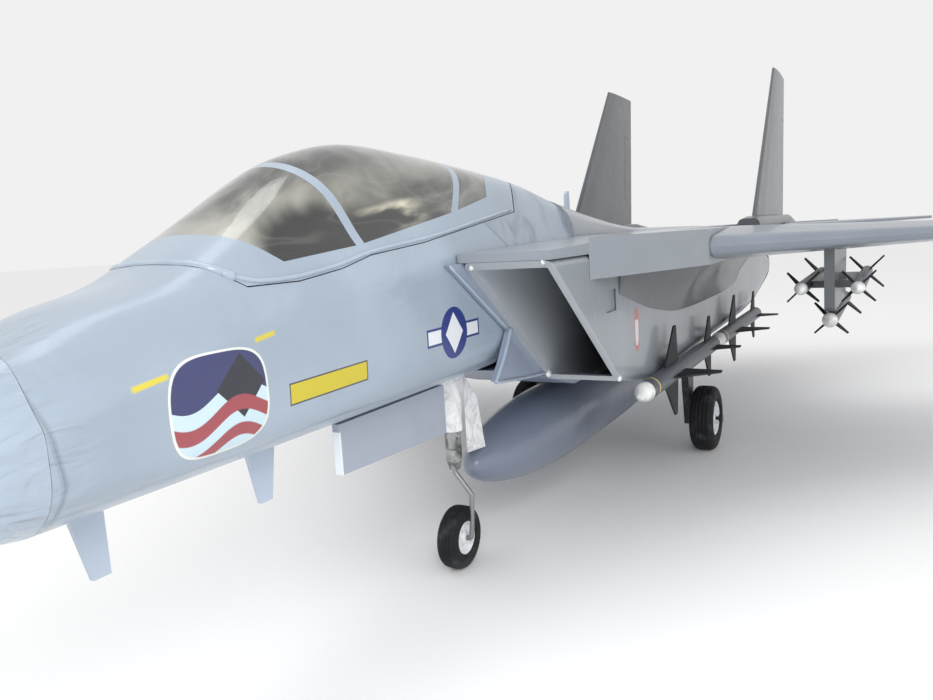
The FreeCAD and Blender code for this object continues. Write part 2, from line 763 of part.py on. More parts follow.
def servo_block(centre, long_axis="x", gap=0.0):
    """A servo case, its long side along one axis, grown by a gap where it is used as a pocket."""
    sizes = {"x": ("servo_length", "servo_height", "servo_width"), "y": ("servo_height", "servo_length", "servo_width"),
             "z": ("servo_width", "servo_height", "servo_length")}[long_axis]
    extent = Vector(*(size(word) + 2 * gap for word in sizes))
    return Part.makeBox(extent.x, extent.y, extent.z, centre - extent * 0.5)


def aileron_line():
    start_reach = size("aileron_start_reach")
    chord = Vector(0, size("aileron_chord"), 0)
    start = wing_point(start_reach, True) - chord
    return start, wing_point(start_reach + size("aileron_length"), True) - chord


def aileron_servo(gap=0.0):
    """The servo lies flat in the wing, inboard of the aileron and on its hinge line."""
    start, end = aileron_line()
    along = (end - start).normalize()
    middle = start - along * size("rod_length + 4 * glue_gap + servo_length / 2")
    return servo_block(middle - Vector(0, 0, 2), "x", gap)


def make_wings():
    upward = Vector(0, 0, 1)
    root_reach = size("wing_root_reach + glue_gap")
    tip_reach = size("wing_span / 2")
    root, tip = wing_point(root_reach), wing_point(tip_reach)
    root_chord = wing_point(root_reach, True).y - root.y
    tip_chord = wing_point(tip_reach, True).y - tip.y
    whole = panel((root, root_chord, size("wing_root_thickness")), (tip, tip_chord, size("wing_tip_thickness")), upward)
    rake = plan_prism([(tip_reach + 1, tip.y - 60), (tip_reach + 1, tip.y + 48), (tip_reach - 44, tip.y - 44.5),
                       (tip_reach - 44, tip.y - 60)], 150, 350)
    whole = whole.cut(rake)
    start, end = aileron_line()
    aileron, wing = hinged(whole, start, end, upward, size("hinge_gap"), size("aileron_chord"))
    along = (end - start).normalize()
    radius, clear = size("rod_diameter / 2"), size("running_gap")
    rod_start, rod_end = start - along * size("rod_length"), start + along * 40
    wire = rod(rod_start, rod_end, radius)
    channel = rod(rod_start - along, rod_end + along, radius + clear)
    shaped("aileron_port", Part.makeCompound([aileron.cut(channel), wire]))
    shaped("wing_port", wing.cut(channel).cut(aileron_servo(size("glue_gap"))).cut(spar_bore()))
    for label in ("aileron_port", "wing_port"):
        starboard(label)
    keep("wing_spar", primitive("Cylinder", "wing_spar", ("-spar_reach", "spar_station", "spar_level"), ACROSS,
                                Radius="spar_diameter / 2", Height="2 * spar_reach"))


def boom_rows():
    start, end = size("boom_start_station"), size("overall_length - boom_end_tail")
    half = size("boom_half_width")
    inner, outer = size("nacelle_reach + 2 * glue_gap"), size("boom_reach") + half
    top = size("boom_top_level")
    fin = size("overall_length - fin_tail")
    return ((start, inner, outer, top - 34, top - 12, 6), (fin - 40, inner, outer, top - 38, top - 3, 8),
            (fin, inner, outer, top - 38, top, 8), (end - 90, inner, outer, top - 38, top, 8),
            (end, inner + 4, outer - 4, top - 28, top - 8, 6))


def stabilator_axis():
    """Two ends of the stabilator's pivot shaft."""
    station, level = size("overall_length - stabilator_shaft_tail"), size("stabilator_level")
    return Vector(size("nacelle_reach + 2 * glue_gap + 2"), station, level), Vector(size("stabilator_root_reach + 60"), station, level)


def rudder_line():
    """The hinge line, upright through the fin's rear part."""
    low = size("rudder_start_level")
    high = low + size("rudder_height")
    return fin_trailing(low) - Vector(0, size("rudder_chord"), 0), fin_trailing(high) - Vector(0, size("rudder_chord"), 0)


def fin_trailing(level):
    base = size("boom_top_level + glue_gap")
    share = (level - base) / (size("fin_tip_level") - base)
    station = size("overall_length - fin_tail + fin_root_chord") + size("fin_tip_rake") * share
    return Vector(size("boom_reach"), station, level)


def rudder_servo(gap=0.0):
    """The servo stands in the boom under the rudder's drive rod."""
    start, end = rudder_line()
    along = (end - start).normalize()
    foot = start - along * ((start.z - size("boom_top_level") + 12) / along.z)
    return servo_block(foot - Vector(0, 0, size("servo_width") / 2), "y", gap)


def make_tail():
    outward = Vector(1, 0, 0)
    base = size("boom_top_level + glue_gap")
    reach = size("boom_reach")
    root = Vector(reach, size("overall_length - fin_tail"), base)
    tip_end = fin_trailing(size("fin_tip_level"))
    tip = Vector(reach, tip_end.y - size("fin_tip_chord"), tip_end.z)
    whole = panel((root, size("fin_root_chord"), size("fin_root_thickness")),
                  (tip, size("fin_tip_chord"), size("fin_tip_thickness")), outward)
    start, end = rudder_line()
    rudder, fin = hinged(whole, start, end, outward, size("hinge_gap"), size("rudder_chord"))
    along = (end - start).normalize()
    radius, clear = size("rod_diameter / 2"), size("running_gap")
    foot = start - along * ((start.z - size("boom_top_level") + 11) / along.z)
    wire = rod(foot, start + along * 40, radius)
    channel = rod(foot - along * 3, start + along * 41, radius + clear)
    shaped("rudder_port", Part.makeCompound([rudder.cut(channel), wire]))
    shaped("fin_port", fin.cut(channel))

    inner, outer = stabilator_axis()
    shaft_radius = size("stabilator_shaft_diameter / 2")
    root_reach, tip_reach = size("stabilator_root_reach"), size("stabilator_span / 2")
    level = size("stabilator_level")
    root_nose = size("overall_length - stabilator_tail")
    tip_nose = size("overall_length - stabilator_tip_chord")
    surface = panel((Vector(root_reach, root_nose, level), size("stabilator_root_chord"), size("stabilator_root_thickness")),
                    (Vector(tip_reach, tip_nose, level), size("stabilator_tip_chord"), size("stabilator_tip_thickness")),
                    Vector(0, 0, 1))
    boss = Part.makeCylinder(shaft_radius + 3, 70, Vector(root_reach + 0.01, outer.y, level), outward)
    cavity = rod(inner, outer + outward * 0.2, shaft_radius + clear)
    surface = surface.fuse(boss).cut(cavity)
    shaped("stabilator_port", Part.makeCompound([surface, rod(inner, outer, shaft_radius)]))

    boom = rounded_body(boom_rows()).cut(channel).cut(rudder_servo(size("glue_gap")))
    shaped("tail_boom_port", boom.cut(rod(inner - outward, outer, shaft_radius + clear)))
    for label in ("rudder_port", "fin_port", "stabilator_port", "tail_boom_port"):
        starboard(label)


def make_nozzles():
    """A convergent nozzle with a short straight land at its mouth."""
    start = nacelle_end() + size("glue_gap")
    centre = Vector(size("nozzle_reach"), start, size("nozzle_level"))
    base, mouth = size("nozzle_base_radius"), size("nozzle_mouth_radius")
    wall, land = size("nozzle_wall"), size("nozzle_land")
    length = size("nozzle_length")
    outer = Part.makeCone(base, mouth, length, centre, Vector(0, 1, 0))
    inner = Part.makeCone(base - wall - 1, mouth - wall, length - land, centre, Vector(0, 1, 0))
    straight = Part.makeCylinder(mouth - wall, land, centre + Vector(0, length - land, 0), Vector(0, 1, 0))
    shaped("nozzle_port", outer.cut(inner.fuse(straight)))
    starboard("nozzle_port")


# ---------------------------------------------------------------------------------------------------
# Fans and equipment
# ---------------------------------------------------------------------------------------------------


def make_fans():
    """A ducted fan in each nacelle: a ring with four stators and the motor can, and a bladed rotor."""
    reach = 0.5 * (keel_width(size("fan_bay_station")) + size("glue_gap + splitter_thickness") + size("nacelle_reach"))
    start, level = size("fan_station"), size("fan_level")
    bore, length = size("fan_bore / 2"), size("fan_length")
    can = size("fan_motor_diameter / 2")
    aft = Vector(0, 1, 0)
    origin = Vector(reach, start, level)
    ring = Part.makeCylinder(bore + size("fan_wall"), length, origin, aft)
    bay_half = 0.5 * (size("nacelle_reach") - keel_width(size("fan_bay_station")) - size("glue_gap + splitter_thickness"))
    lug_half = bay_half - size("foam_wall + glue_gap")
    lug = Part.makeBox(2 * lug_half, 20, 8, origin + Vector(-lug_half, 18, -4))
    ring = ring.fuse(lug).cut(Part.makeCylinder(bore, length, origin, aft))
    rotor_length = 24
    motor = Part.makeCylinder(can, length - rotor_length, origin + aft * rotor_length, aft)
    stators = []
    for index in range(4):
        vane = Part.makeBox(bore + 1, length - rotor_length - 8, 2.4, origin + Vector(0, rotor_length + 4, -1.2))
        vane.rotate(origin, aft, 45 + 90 * index)
        stators.append(vane)
    shaped("fan_housing_port", ring.multiFuse([motor] + stators).removeSplitter())

    spinner_length = 26
    hub = Part.makeCylinder(can, rotor_length - 2.5, origin + aft * 1, aft)
    cone = Part.makeCone(3, can, spinner_length, origin - aft * (spinner_length - 1), aft)
    tip = bore - size("fan_tip_gap")
    blades = []
    count = int(size("fan_blade_count"))
    for index in range(count):
        blade = Part.makeBox(tip - 4, 16, 2, origin + Vector(4, 4, -1))
        blade.rotate(origin + Vector(0, 12, 0), Vector(1, 0, 0), 38)
        blade.rotate(origin, aft, 360 / count * index)
        blades.append(blade)
    sweep = Part.makeCylinder(tip, rotor_length, origin, aft)
    rotor = hub.multiFuse([cone] + [blade.common(sweep) for blade in blades]).removeSplitter()
    shaped("fan_rotor_port", rotor)
    for label in ("fan_housing_port", "fan_rotor_port"):
        starboard(label)


def make_equipment():
    floor = "belly_level + bay_floor + glue_gap"
    keep("flight_battery", primitive("Box", "flight_battery", ("-battery_width / 2", "battery_station", floor),
                                     Length="battery_width", Width="battery_length", Height="battery_height"))
    receiver = primitive("Box", "receiver", ("-14", "battery_station + battery_length + 20", floor),
                         Length="28", Width="46", Height="14")
    controllers = [primitive("Box", f"speed_controller_{name}", (side, "nose_gear_station + 30", floor),
                             Length="controller_width", Width="68", Height="14")
                   for name, side in (("port", "2"), ("starboard", "-2 - controller_width"))]
    keep("radio_and_controllers", together("radio_and_controllers", receiver, *controllers))
    steering_foot = Vector(0, size("nose_gear_station"), steering_level() + 0.5 + size("servo_width") / 2)
    steering = servo_block(steering_foot, "x")
    port = [aileron_servo(), rudder_servo()]
    mirrored = [case.mirror(Vector(), Vector(1, 0, 0)) for case in port]
    shaped("servos", Part.makeCompound([steering] + port + mirrored))


# ---------------------------------------------------------------------------------------------------
# Landing gear
# ---------------------------------------------------------------------------------------------------


def steering_level():
    """The top of the nose leg's tube, just inside the belly."""
    return size("belly_level + foam_wall + 24")


def make_wheel(name, side, at, diameter, width, hub):
    """A solid tyre on a dished hub that turns on the axle."""
    reach, station, level = at
    flank = f"{reach} - {width} / 2"
    block = primitive("Cylinder", f"{name}_tyre_block", (flank, station, level), ACROSS, Radius=f"{diameter} / 2", Height=width)
    DOCUMENT.recompute()
    tread = DOCUMENT.addObject("Part::Fillet", f"{name}_tread")
    tread.Base = block
    rounding = 0.44 * size(width)
    tread.Edges = [(1, rounding, rounding), (3, rounding, rounding)]
    bead = primitive("Cylinder", f"{name}_bead", (f"{flank} - 1", station, level), ACROSS, Radius=f"{hub} / 2", Height=f"{width} + 2")
    keep(f"{name}_tyre{side}", cut(f"{name}_tyre{side}", tread, bead))
    rim = primitive("Cylinder", f"{name}_rim", (f"{flank} + 1", station, level), ACROSS,
                    Radius=f"{hub} / 2 - running_gap", Height=f"{width} - 2")
    dishes = []
    for face, start in (("outer", f"{reach} + {width} / 2 - 4"), ("inner", f"{flank} - 1")):
        dish = primitive("Cylinder", f"{name}_dish_{face}", (start, station, level), ACROSS, Radius=f"{hub} / 2 - 2.5", Height="5")
        boss = primitive("Cylinder", f"{name}_boss_{face}", (start, station, level), ACROSS, Radius="axle_diameter / 2 + 2.5", Height="5")
        dishes.append(cut(f"{name}_ring_{face}", dish, boss))
    bore = primitive("Cylinder", f"{name}_bore", (f"{flank} - 1", station, level), ACROSS,
                     Radius="axle_diameter / 2 + running_gap", Height=f"{width} + 2")
    body = cut(f"{name}_dished", rim, fuse(f"{name}_dishes", *dishes))
    keep(f"{name}_hub{side}", cut(f"{name}_hub{side}", body, bore))


def make_nose_gear():
    station = size("nose_gear_station")
    tube_low, tube_high = size("nose_tube_end_level"), steering_level()
    radius, wire = size("nose_tube_diameter / 2"), size("wire_diameter / 2")
    gap = size("running_gap")
    upright = Vector(0, 0, 1)
    foot = Vector(0, station, tube_low)
    tube = Part.makeCylinder(radius, tube_high - tube_low, foot, upright)
    taper = Part.makeCone(radius - 2, radius, 8, foot, upright)
    lower = Part.makeCylinder(radius + 1, 8, foot, upright).cut(taper)
    bore = Part.makeCylinder(wire + gap, tube_high - tube_low + 2, foot - upright, upright)
    shaped("nose_strut", tube.cut(lower).cut(bore))

    cover_low, cover_high = size("nose_cover_end_level"), size("belly_level - glue_gap")
    wall = size("cover_wall")
    sleeve = Part.makeCylinder(radius + gap + wall, cover_high - cover_low, Vector(0, station, cover_low), upright)
    hollow = Part.makeCylinder(radius + gap, cover_high - cover_low, Vector(0, station, cover_low), upright)
    shaped("nose_strut_cover", sleeve.cut(hollow))
    keep("nose_flap", plate("nose_flap", "YZ_Plane",
                            (("nose_gear_station + nose_tube_diameter / 2 + 2", "belly_level - 4"),
                             ("nose_gear_station + 28", "belly_level - 26"), ("nose_gear_station + 38", "nose_tube_end_level + 9"),
                             ("nose_gear_station + nose_tube_diameter / 2 + 2", "nose_tube_end_level + 12")),
                            "cover_wall", "nose_tube_diameter / 2 + 1"))

    axle_level = size("nose_wheel_diameter / 2")
    side = size("nose_wheel_width / 2 + wire_diameter / 2 + 1.5")
    inside = -size("nose_wheel_width / 2 + 4")
    points = [Vector(0, station, tube_high), Vector(0, station, tube_low - 3), Vector(side + 1, station + 2, tube_low - 21),
              Vector(side, station + 1, axle_level + 9), Vector(side - 1, station, axle_level)]
    leg = bent_rod(points, wire)
    axle = Part.makeCylinder(size("axle_diameter / 2"), side - 1 - inside, Vector(inside, station, axle_level), Vector(1, 0, 0))
    collar = Part.makeCylinder(4, 3, Vector(inside, station, axle_level), Vector(1, 0, 0))
    shaped("nose_leg", leg.multiFuse([axle, collar]).removeSplitter())
    make_wheel("nose", "", ("0", "nose_gear_station", "nose_wheel_diameter / 2"), "nose_wheel_diameter", "nose_wheel_width",
               "nose_hub_diameter")

    drop = "belly_level + 4 - door_depth"
    keep("nose_door", plate("nose_door", "YZ_Plane",
                            (("door_station", "belly_level - glue_gap"), ("door_station", f"{drop} + 3"),
                             ("door_station + door_length", f"{drop} - 2"), ("door_station + door_length", "belly_level - glue_gap")),
                            "door_thickness", "door_reach - door_thickness"))


def make_main_gear():
    """A flat leg on the inboard side of each main wheel, with a pressed-in axle and a collar."""
    keel = "keel_level - glue_gap"
    inner = "main_gear_reach - main_wheel_width / 2 - 2.5 - main_leg_thickness"
    strut = plate("main_leg_strut_port", "YZ_Plane",
                  (("main_gear_station - main_leg_width", keel), ("main_gear_station - 7", "main_wheel_diameter / 2 - 7"),
                   ("main_gear_station + 7", "main_wheel_diameter / 2 - 7"), ("main_gear_station + 9", keel)),
                  "main_leg_thickness", inner)
    axle = primitive("Cylinder", "main_axle_port", (inner, "main_gear_station", "main_wheel_diameter / 2"), ACROSS,
                     Radius="axle_diameter / 2", Height="main_wheel_width + main_leg_thickness + 8")
    boss = primitive("Cylinder", "main_boss_port", (inner, "main_gear_station", "main_wheel_diameter / 2"), ACROSS,
                     Radius="axle_diameter / 2 + 3", Height="main_leg_thickness + 2")
    collar = primitive("Cylinder", "main_collar_port", ("main_gear_reach + main_wheel_width / 2 + 1.5", "main_gear_station",
                                                        "main_wheel_diameter / 2"), ACROSS, Radius="4.5", Height="4")
    keep("main_leg_port", fuse("main_leg_port", strut, axle, boss, collar))
    starboard("main_leg_port")
    make_wheel("main", "_port", ("main_gear_reach", "main_gear_station", "main_wheel_diameter / 2"), "main_wheel_diameter",
               "main_wheel_width", "main_hub_diameter")
    starboard("main_tyre_port")
    starboard("main_hub_port")


# ---------------------------------------------------------------------------------------------------
# Antennas and stores
# ---------------------------------------------------------------------------------------------------


def make_antennas():
    half = "-blade_thickness / 2"
    belly = "belly_level - glue_gap"
    front = plate("antenna_front", "YZ_Plane", (("206", belly), ("215", "127"), ("224", "127"), ("224", belly)), "blade_thickness", half)
    middle = plate("antenna_middle", "YZ_Plane", (("312", belly), ("320", "127"), ("329", "127"), ("335", belly)), "blade_thickness", half)
    back = plate("antenna_back", "YZ_Plane", (("hull_end_station + 109", "272"), ("hull_end_station + 111", "306"),
                                              ("hull_end_station + 114", "309"), ("hull_end_station + 119", "309"),
                                              ("hull_end_station + 121", "272")), "blade_thickness", half)
    keep("blade_antennas", together("blade_antennas", front, middle, back))


def make_drop_tank():
    level = "tank_level"
    radius = "tank_diameter / 2"
    nose_end = "tank_station + tank_nose_length"
    tail_start = f"{nose_end} + tank_middle_length"
    nose = primitive("Ellipsoid", "tank_nose", ("0", nose_end, level), AFT, Radius1="tank_nose_length", Radius2=radius, Radius3=radius)
    middle = primitive("Cylinder", "tank_middle", ("0", nose_end, level), AFT, Radius=radius, Height="tank_middle_length")
    tail = primitive("Ellipsoid", "tank_tail", ("0", tail_start, level), AFT, Radius1="tank_tail_length", Radius2=radius, Radius3=radius)
    keep("drop_tank", fuse("drop_tank", nose, middle, tail))


def make_pylons():
    """The centreline pylon, and under each wing a pylon with a cross rail for its side missiles."""
    half = size("pylon_thickness / 2")
    tank_top = size("tank_level") + size("tank_diameter / 2") + 0.3
    first = size("tank_station + tank_nose_length") + 4
    last = first + size("tank_middle_length") - 8
    keel = size("keel_level - glue_gap")
    centre = side_prism([(first - 30, keel), (first, tank_top), (last, tank_top), (last + 20, keel)], half)

    reach, start = size("wing_pylon_reach"), size("wing_pylon_station")
    end, low = start + size("wing_pylon_length"), size("wing_pylon_end_level")
    blank = side_prism([(start - 8, 250), (start, low + 4), (start + 6, low), (end - 16, low), (end, 250)], reach + half, reach - half)
    spread, level = size("wing_missile_spread"), size("wing_missile_level")
    tube = size("wing_missile_diameter / 2 + glue_gap")
    rail = Part.makeBox(2 * spread, 120, 7, Vector(reach - spread, start + 40, level - 3.5))
    for side in (-1, 1):
        rail = rail.cut(Part.makeCylinder(tube, 200, Vector(reach + side * spread, start, level), Vector(0, 1, 0)))
        rail = max(rail.Solids, key=lambda solid: solid.Volume)
    wing = NODES["wing_port"].Shape.copy()
    wing.translate(Vector(0, size("overall_length / 2"), 0))
    pylon = blank.fuse(rail).cut(wing)
    pylon = max(pylon.Solids, key=lambda solid: solid.BoundBox.ZLength * (solid.BoundBox.ZMin < low + 1))
    shaped("store_pylons", Part.makeCompound([centre, pylon, pylon.mirror(Vector(), Vector(1, 0, 0))]))


def missile(station, reach, level, diameter, length, nose_length):
    """The turned nose and the tube of one missile."""
    aft = Vector(0, 1, 0)
    radius = diameter / 2
    profile = Part.BSplineCurve()
    profile.interpolate([Vector(0.06 * radius, 0, 0), Vector(0.55 * radius, 0.35 * nose_length, 0),
                         Vector(0.87 * radius, 0.7 * nose_length, 0), Vector(radius, nose_length, 0)])
    loop = [profile.toShape(), Part.makeLine(Vector(radius, nose_length, 0), Vector(0, nose_length, 0)),
            Part.makeLine(Vector(0, nose_length, 0), Vector(0, 0, 0)), Part.makeLine(Vector(0, 0, 0), Vector(0.06 * radius, 0, 0))]
    nose = Part.Face(Part.Wire(loop)).revolve(Vector(), aft, 360)
    at = Vector(reach, station, level)
    tube = Part.makeCylinder(radius, length - nose_length, at + aft * nose_length, aft)
    matrix = FreeCAD.Matrix()
    matrix.move(at)
    return nose.transformGeometry(matrix), tube


def missile_fins(station, reach, level, radius, outline, angles):
    """Flat fins of one outline (distance aft, height above the tube), stood round the tube."""
    sheet = size("fin_sheet")
    blades = []
    for angle in angles:
        corners = [Vector(-sheet / 2, aft, radius + up) for aft, up in outline]
        blade = Part.Face(Part.makePolygon(corners + corners[:1])).extrude(Vector(sheet, 0, 0))
        blade.rotate(Vector(), Vector(0, 1, 0), angle)
        blade.translate(Vector(reach, station, level))
        blades.append(blade.copy())
    return blades


def make_missiles():
    noses, tubes, blades = [], [], []
    wide = size("body_missile_diameter")
    reach = size("nacelle_reach + glue_gap") + wide / 2 + 0.3
    level = size("body_missile_level")
    middle_wing = ((0, 0.05), (34, 34), (42, 34), (46, 0.05))
    tail_wing = ((0, 0.05), (20, 25), (28, 25), (30, 0.05))
    for index in range(2):
        station = size("body_missile_station") + index * size("body_missile_pitch")
        nose, tube = missile(station, reach, level, wide, size("body_missile_length"), 22)
        noses.append(nose)
        tubes.append(tube)
        blades += missile_fins(station + 84, reach, level, wide / 2, middle_wing, (0, 90, 180))
        blades += missile_fins(station + 250, reach, level, wide / 2, tail_wing, (0, 90, 180))

    slim = size("wing_missile_diameter")
    spread = size("wing_missile_spread")
    start = size("wing_missile_station")
    canard = ((0, 0.05), (12, 14), (16, 14), (17, 0.05))
    slim_tail = ((0, 0.05), (16, 19), (26, 19), (28, 0.05))
    low = size("low_missile_diameter")
    rows = ((start, size("wing_pylon_reach") - spread, size("wing_missile_level"), slim, 3),
            (start, size("wing_pylon_reach") + spread, size("wing_missile_level"), slim, 3),
            (start + 14, size("wing_pylon_reach"), size("low_missile_level"), low, 4))
    for station, out, height, diameter, _ in rows:
        nose, tube = missile(station, out, height, diameter, size("wing_missile_length"), 9)
        noses.append(nose)
        tubes.append(tube)
        blades += missile_fins(station + 14, out, height, diameter / 2, canard, (45, 135, 225, 315))
        blades += missile_fins(station + 206, out, height, diameter / 2, slim_tail, (45, 135, 225, 315))
    centre = Vector()
    across = Vector(1, 0, 0)
    for label, pieces in (("missile_noses", noses), ("missile_tubes", tubes), ("missile_fins", blades)):
        shaped(label, Part.makeCompound(pieces + [piece.mirror(centre, across) for piece in pieces]))


# ---------------------------------------------------------------------------------------------------
# The whole aircraft
# ---------------------------------------------------------------------------------------------------

for make in (make_nose_and_canopy, make_cockpit, make_ducts, make_splitters, make_keel, make_spine, make_gloves,
             make_conformal_tanks, make_wings, make_tail, make_nozzles, make_fans, make_equipment, make_nose_gear,
             make_main_gear, make_antennas, make_drop_tank, make_pylons, make_missiles):
    make()
DOCUMENT.recompute()

for item in DOCUMENT.Objects:
    if "Invalid" in item.State or "Error" in item.State:
        raise RuntimeError(f"{item.Label} did not compute: {item.State}")
os.makedirs("parts", exist_ok=True)
for label, piece in NODES.items():
    shape = piece.Shape
    if shape.isNull() or not shape.isValid() or not shape.Solids:
        raise RuntimeError(f"{label} has no valid solid")
    shape.exportStep(f"parts/{label}.step")
print(f"{len(NODES)} nodes")
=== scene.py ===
# %% [markdown]
# # A radio-controlled jet plane, seen from in front of its port side
#
# The real object is a foam-sheet model aircraft on three wheels, covered in a glossy blue-grey film.
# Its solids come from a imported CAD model. This script gives each one its finish, replaces the soft
# or plain ones with finer pieces, and adds the small things that a covered foam model shows, such as
# film joints, glue, markings and creases.

import math
import random

import bmesh
import bpy
from mathutils import Matrix, Vector
from mathutils.bvhtree import BVHTree


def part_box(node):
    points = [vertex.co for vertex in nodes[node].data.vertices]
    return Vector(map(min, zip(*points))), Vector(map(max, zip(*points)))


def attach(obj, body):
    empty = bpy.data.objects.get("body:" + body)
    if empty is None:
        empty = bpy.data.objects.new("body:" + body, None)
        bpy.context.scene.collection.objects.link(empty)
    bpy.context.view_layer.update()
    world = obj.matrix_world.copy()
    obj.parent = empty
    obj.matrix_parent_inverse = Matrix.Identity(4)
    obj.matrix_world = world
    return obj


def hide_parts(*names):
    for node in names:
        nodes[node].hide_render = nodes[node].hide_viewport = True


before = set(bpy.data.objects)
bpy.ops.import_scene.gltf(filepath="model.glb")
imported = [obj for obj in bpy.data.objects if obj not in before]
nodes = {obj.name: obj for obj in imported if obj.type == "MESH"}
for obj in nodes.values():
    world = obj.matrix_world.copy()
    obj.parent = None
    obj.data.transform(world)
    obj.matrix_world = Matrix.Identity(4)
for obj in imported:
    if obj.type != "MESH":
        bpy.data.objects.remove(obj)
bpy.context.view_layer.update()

MM = 0.001
HALF_LENGTH = 810.0


def at(reach, station, level):
    """A point in metres from millimetres to port, aft of the nose tip and above the floor."""
    return Vector((reach, station - HALF_LENGTH, level)) * MM


# %% [markdown]
# ## Camera
#
# The view is a close one, from beside the radome and looking aft, so the nose is large and the wing is
# small. A 30 mm lens on a 36 mm sensor gives that strong perspective. The camera's axes come from a
# turn to starboard, a look down and a small roll, built as a matrix so each turn can be read by itself.

# %% Camera
YAW, PITCH, ROLL = (math.radians(angle) for angle in (29.30, 8.29, -3.53))
ahead = Vector((-math.sin(YAW) * math.cos(PITCH), math.cos(YAW) * math.cos(PITCH), -math.sin(PITCH)))
level_right = Vector((math.cos(YAW), math.sin(YAW), 0))
level_up = level_right.cross(ahead)
right = level_right * math.cos(ROLL) + level_up * math.sin(ROLL)
up = level_up * math.cos(ROLL) - level_right * math.sin(ROLL)

lens = bpy.data.cameras.new("close_view")
lens.sensor_width = 36
lens.lens = 29.99
lens.clip_start = 0.01
camera = bpy.data.objects.new("close_view", lens)
EYE = at(310.9, 13.05, 267.8)
camera.matrix_world = Matrix.Translation(EYE) @ Matrix((right, up, -ahead)).transposed().to_4x4()
bpy.context.scene.collection.objects.link(camera)
bpy.context.scene.camera = camera
print("camera at", list(camera.matrix_world.translation))

# %% [markdown]
# ## Floor and light
#
# A pale floor meets a white surround. A small soft light near the camera makes the nose bright and lets
# the tail fall away, a wide one overhead draws the long highlight down the film, and the surround
# fills the shadows.

# %% Floor and lights
scene = bpy.context.scene
surround = bpy.data.worlds.new("pale_studio")
surround.use_nodes = True
surround.node_tree.nodes["Background"].inputs["Color"].default_value = (1.0, 1.0, 1.0, 1.0)
surround.node_tree.nodes["Background"].inputs["Strength"].default_value = 0.88
scene.world = surround
scene.view_settings.view_transform = "Standard"


def soft_light(name, place, target, width, watts, tint=(1, 1, 1)):
    data = bpy.data.lights.new(name, "AREA")
    data.size = width
    data.energy = watts
    data.color = tint
    light = bpy.data.objects.new(name, data)
    light.location = place
    light.rotation_euler = (Vector(target) - Vector(place)).to_track_quat("-Z", "Y").to_euler()
    scene.collection.objects.link(light)
    return light


soft_light("near_light", at(420, -120, 560), at(20, 330, 200), 0.30, 2.7)
soft_light("overhead_light", at(-300, 300, 1900), at(0, 600, 200), 1.2, 9.0)
soft_light("side_light", at(1700, 500, 700), at(0, 800, 150), 1.2, 2.5)

floor_mesh = bmesh.new()
bmesh.ops.create_grid(floor_mesh, x_segments=1, y_segments=1, size=30.0)
floor_data = bpy.data.meshes.new("studio_floor")
floor_mesh.to_mesh(floor_data)
floor_mesh.free()
floor = bpy.data.objects.new("studio_floor", floor_data)
scene.collection.objects.link(floor)
pale = bpy.data.materials.new("floor_pale")
pale.use_nodes = True
pale.node_tree.nodes["Principled BSDF"].inputs["Base Color"].default_value = (0.93, 0.93, 0.93, 1.0)
pale.node_tree.nodes["Principled BSDF"].inputs["Roughness"].default_value = 0.8
floor.data.materials.append(pale)

# %% [markdown]
# ## Shader maths in plain Python
#
# A finish here is a sum of small ideas: a line where this value is small, a patch where that one is
# large. Written as node links, such a sum is unreadable, so one class wraps a node's output and lets
# Python's operators add the Math nodes. Every other node comes from one method.

# %% Values and boards


class Value:
    """One output of a shader node, which Python can add, multiply and compare."""

    def __init__(self, board, socket):
        self.board, self.socket = board, socket

    def maths(self, operation, *others):
        return self.board.node("ShaderNodeMath", {"operation": operation}, self, *others)

    def __add__(self, other):
        return self.maths("ADD", other)

    def __mul__(self, other):
        return self.maths("MULTIPLY", other)

    def __sub__(self, other):
        return self.maths("SUBTRACT", other)

    def __truediv__(self, other):
        return self.maths("DIVIDE", other)

    def __pow__(self, other):
        return self.maths("POWER", other)

    def __rsub__(self, other):
        return self.board.node("ShaderNodeMath", {"operation": "SUBTRACT"}, other, self)

    def __abs__(self):
        return self.maths("ABSOLUTE")

    def __or__(self, other):
        return self.maths("MAXIMUM", other)

    def __gt__(self, other):
        return self.maths("GREATER_THAN", other)

    def __lt__(self, other):
        return self.maths("LESS_THAN", other)

    __radd__, __rmul__ = __add__, __mul__

    def ramp(self, start, end):
        """0 at start and 1 at end, smooth between them; start may be the larger."""
        smooth = {"interpolation_type": "SMOOTHSTEP"}
        return self.board.node("ShaderNodeMapRange", smooth, self, start, end, 0.0, 1.0)


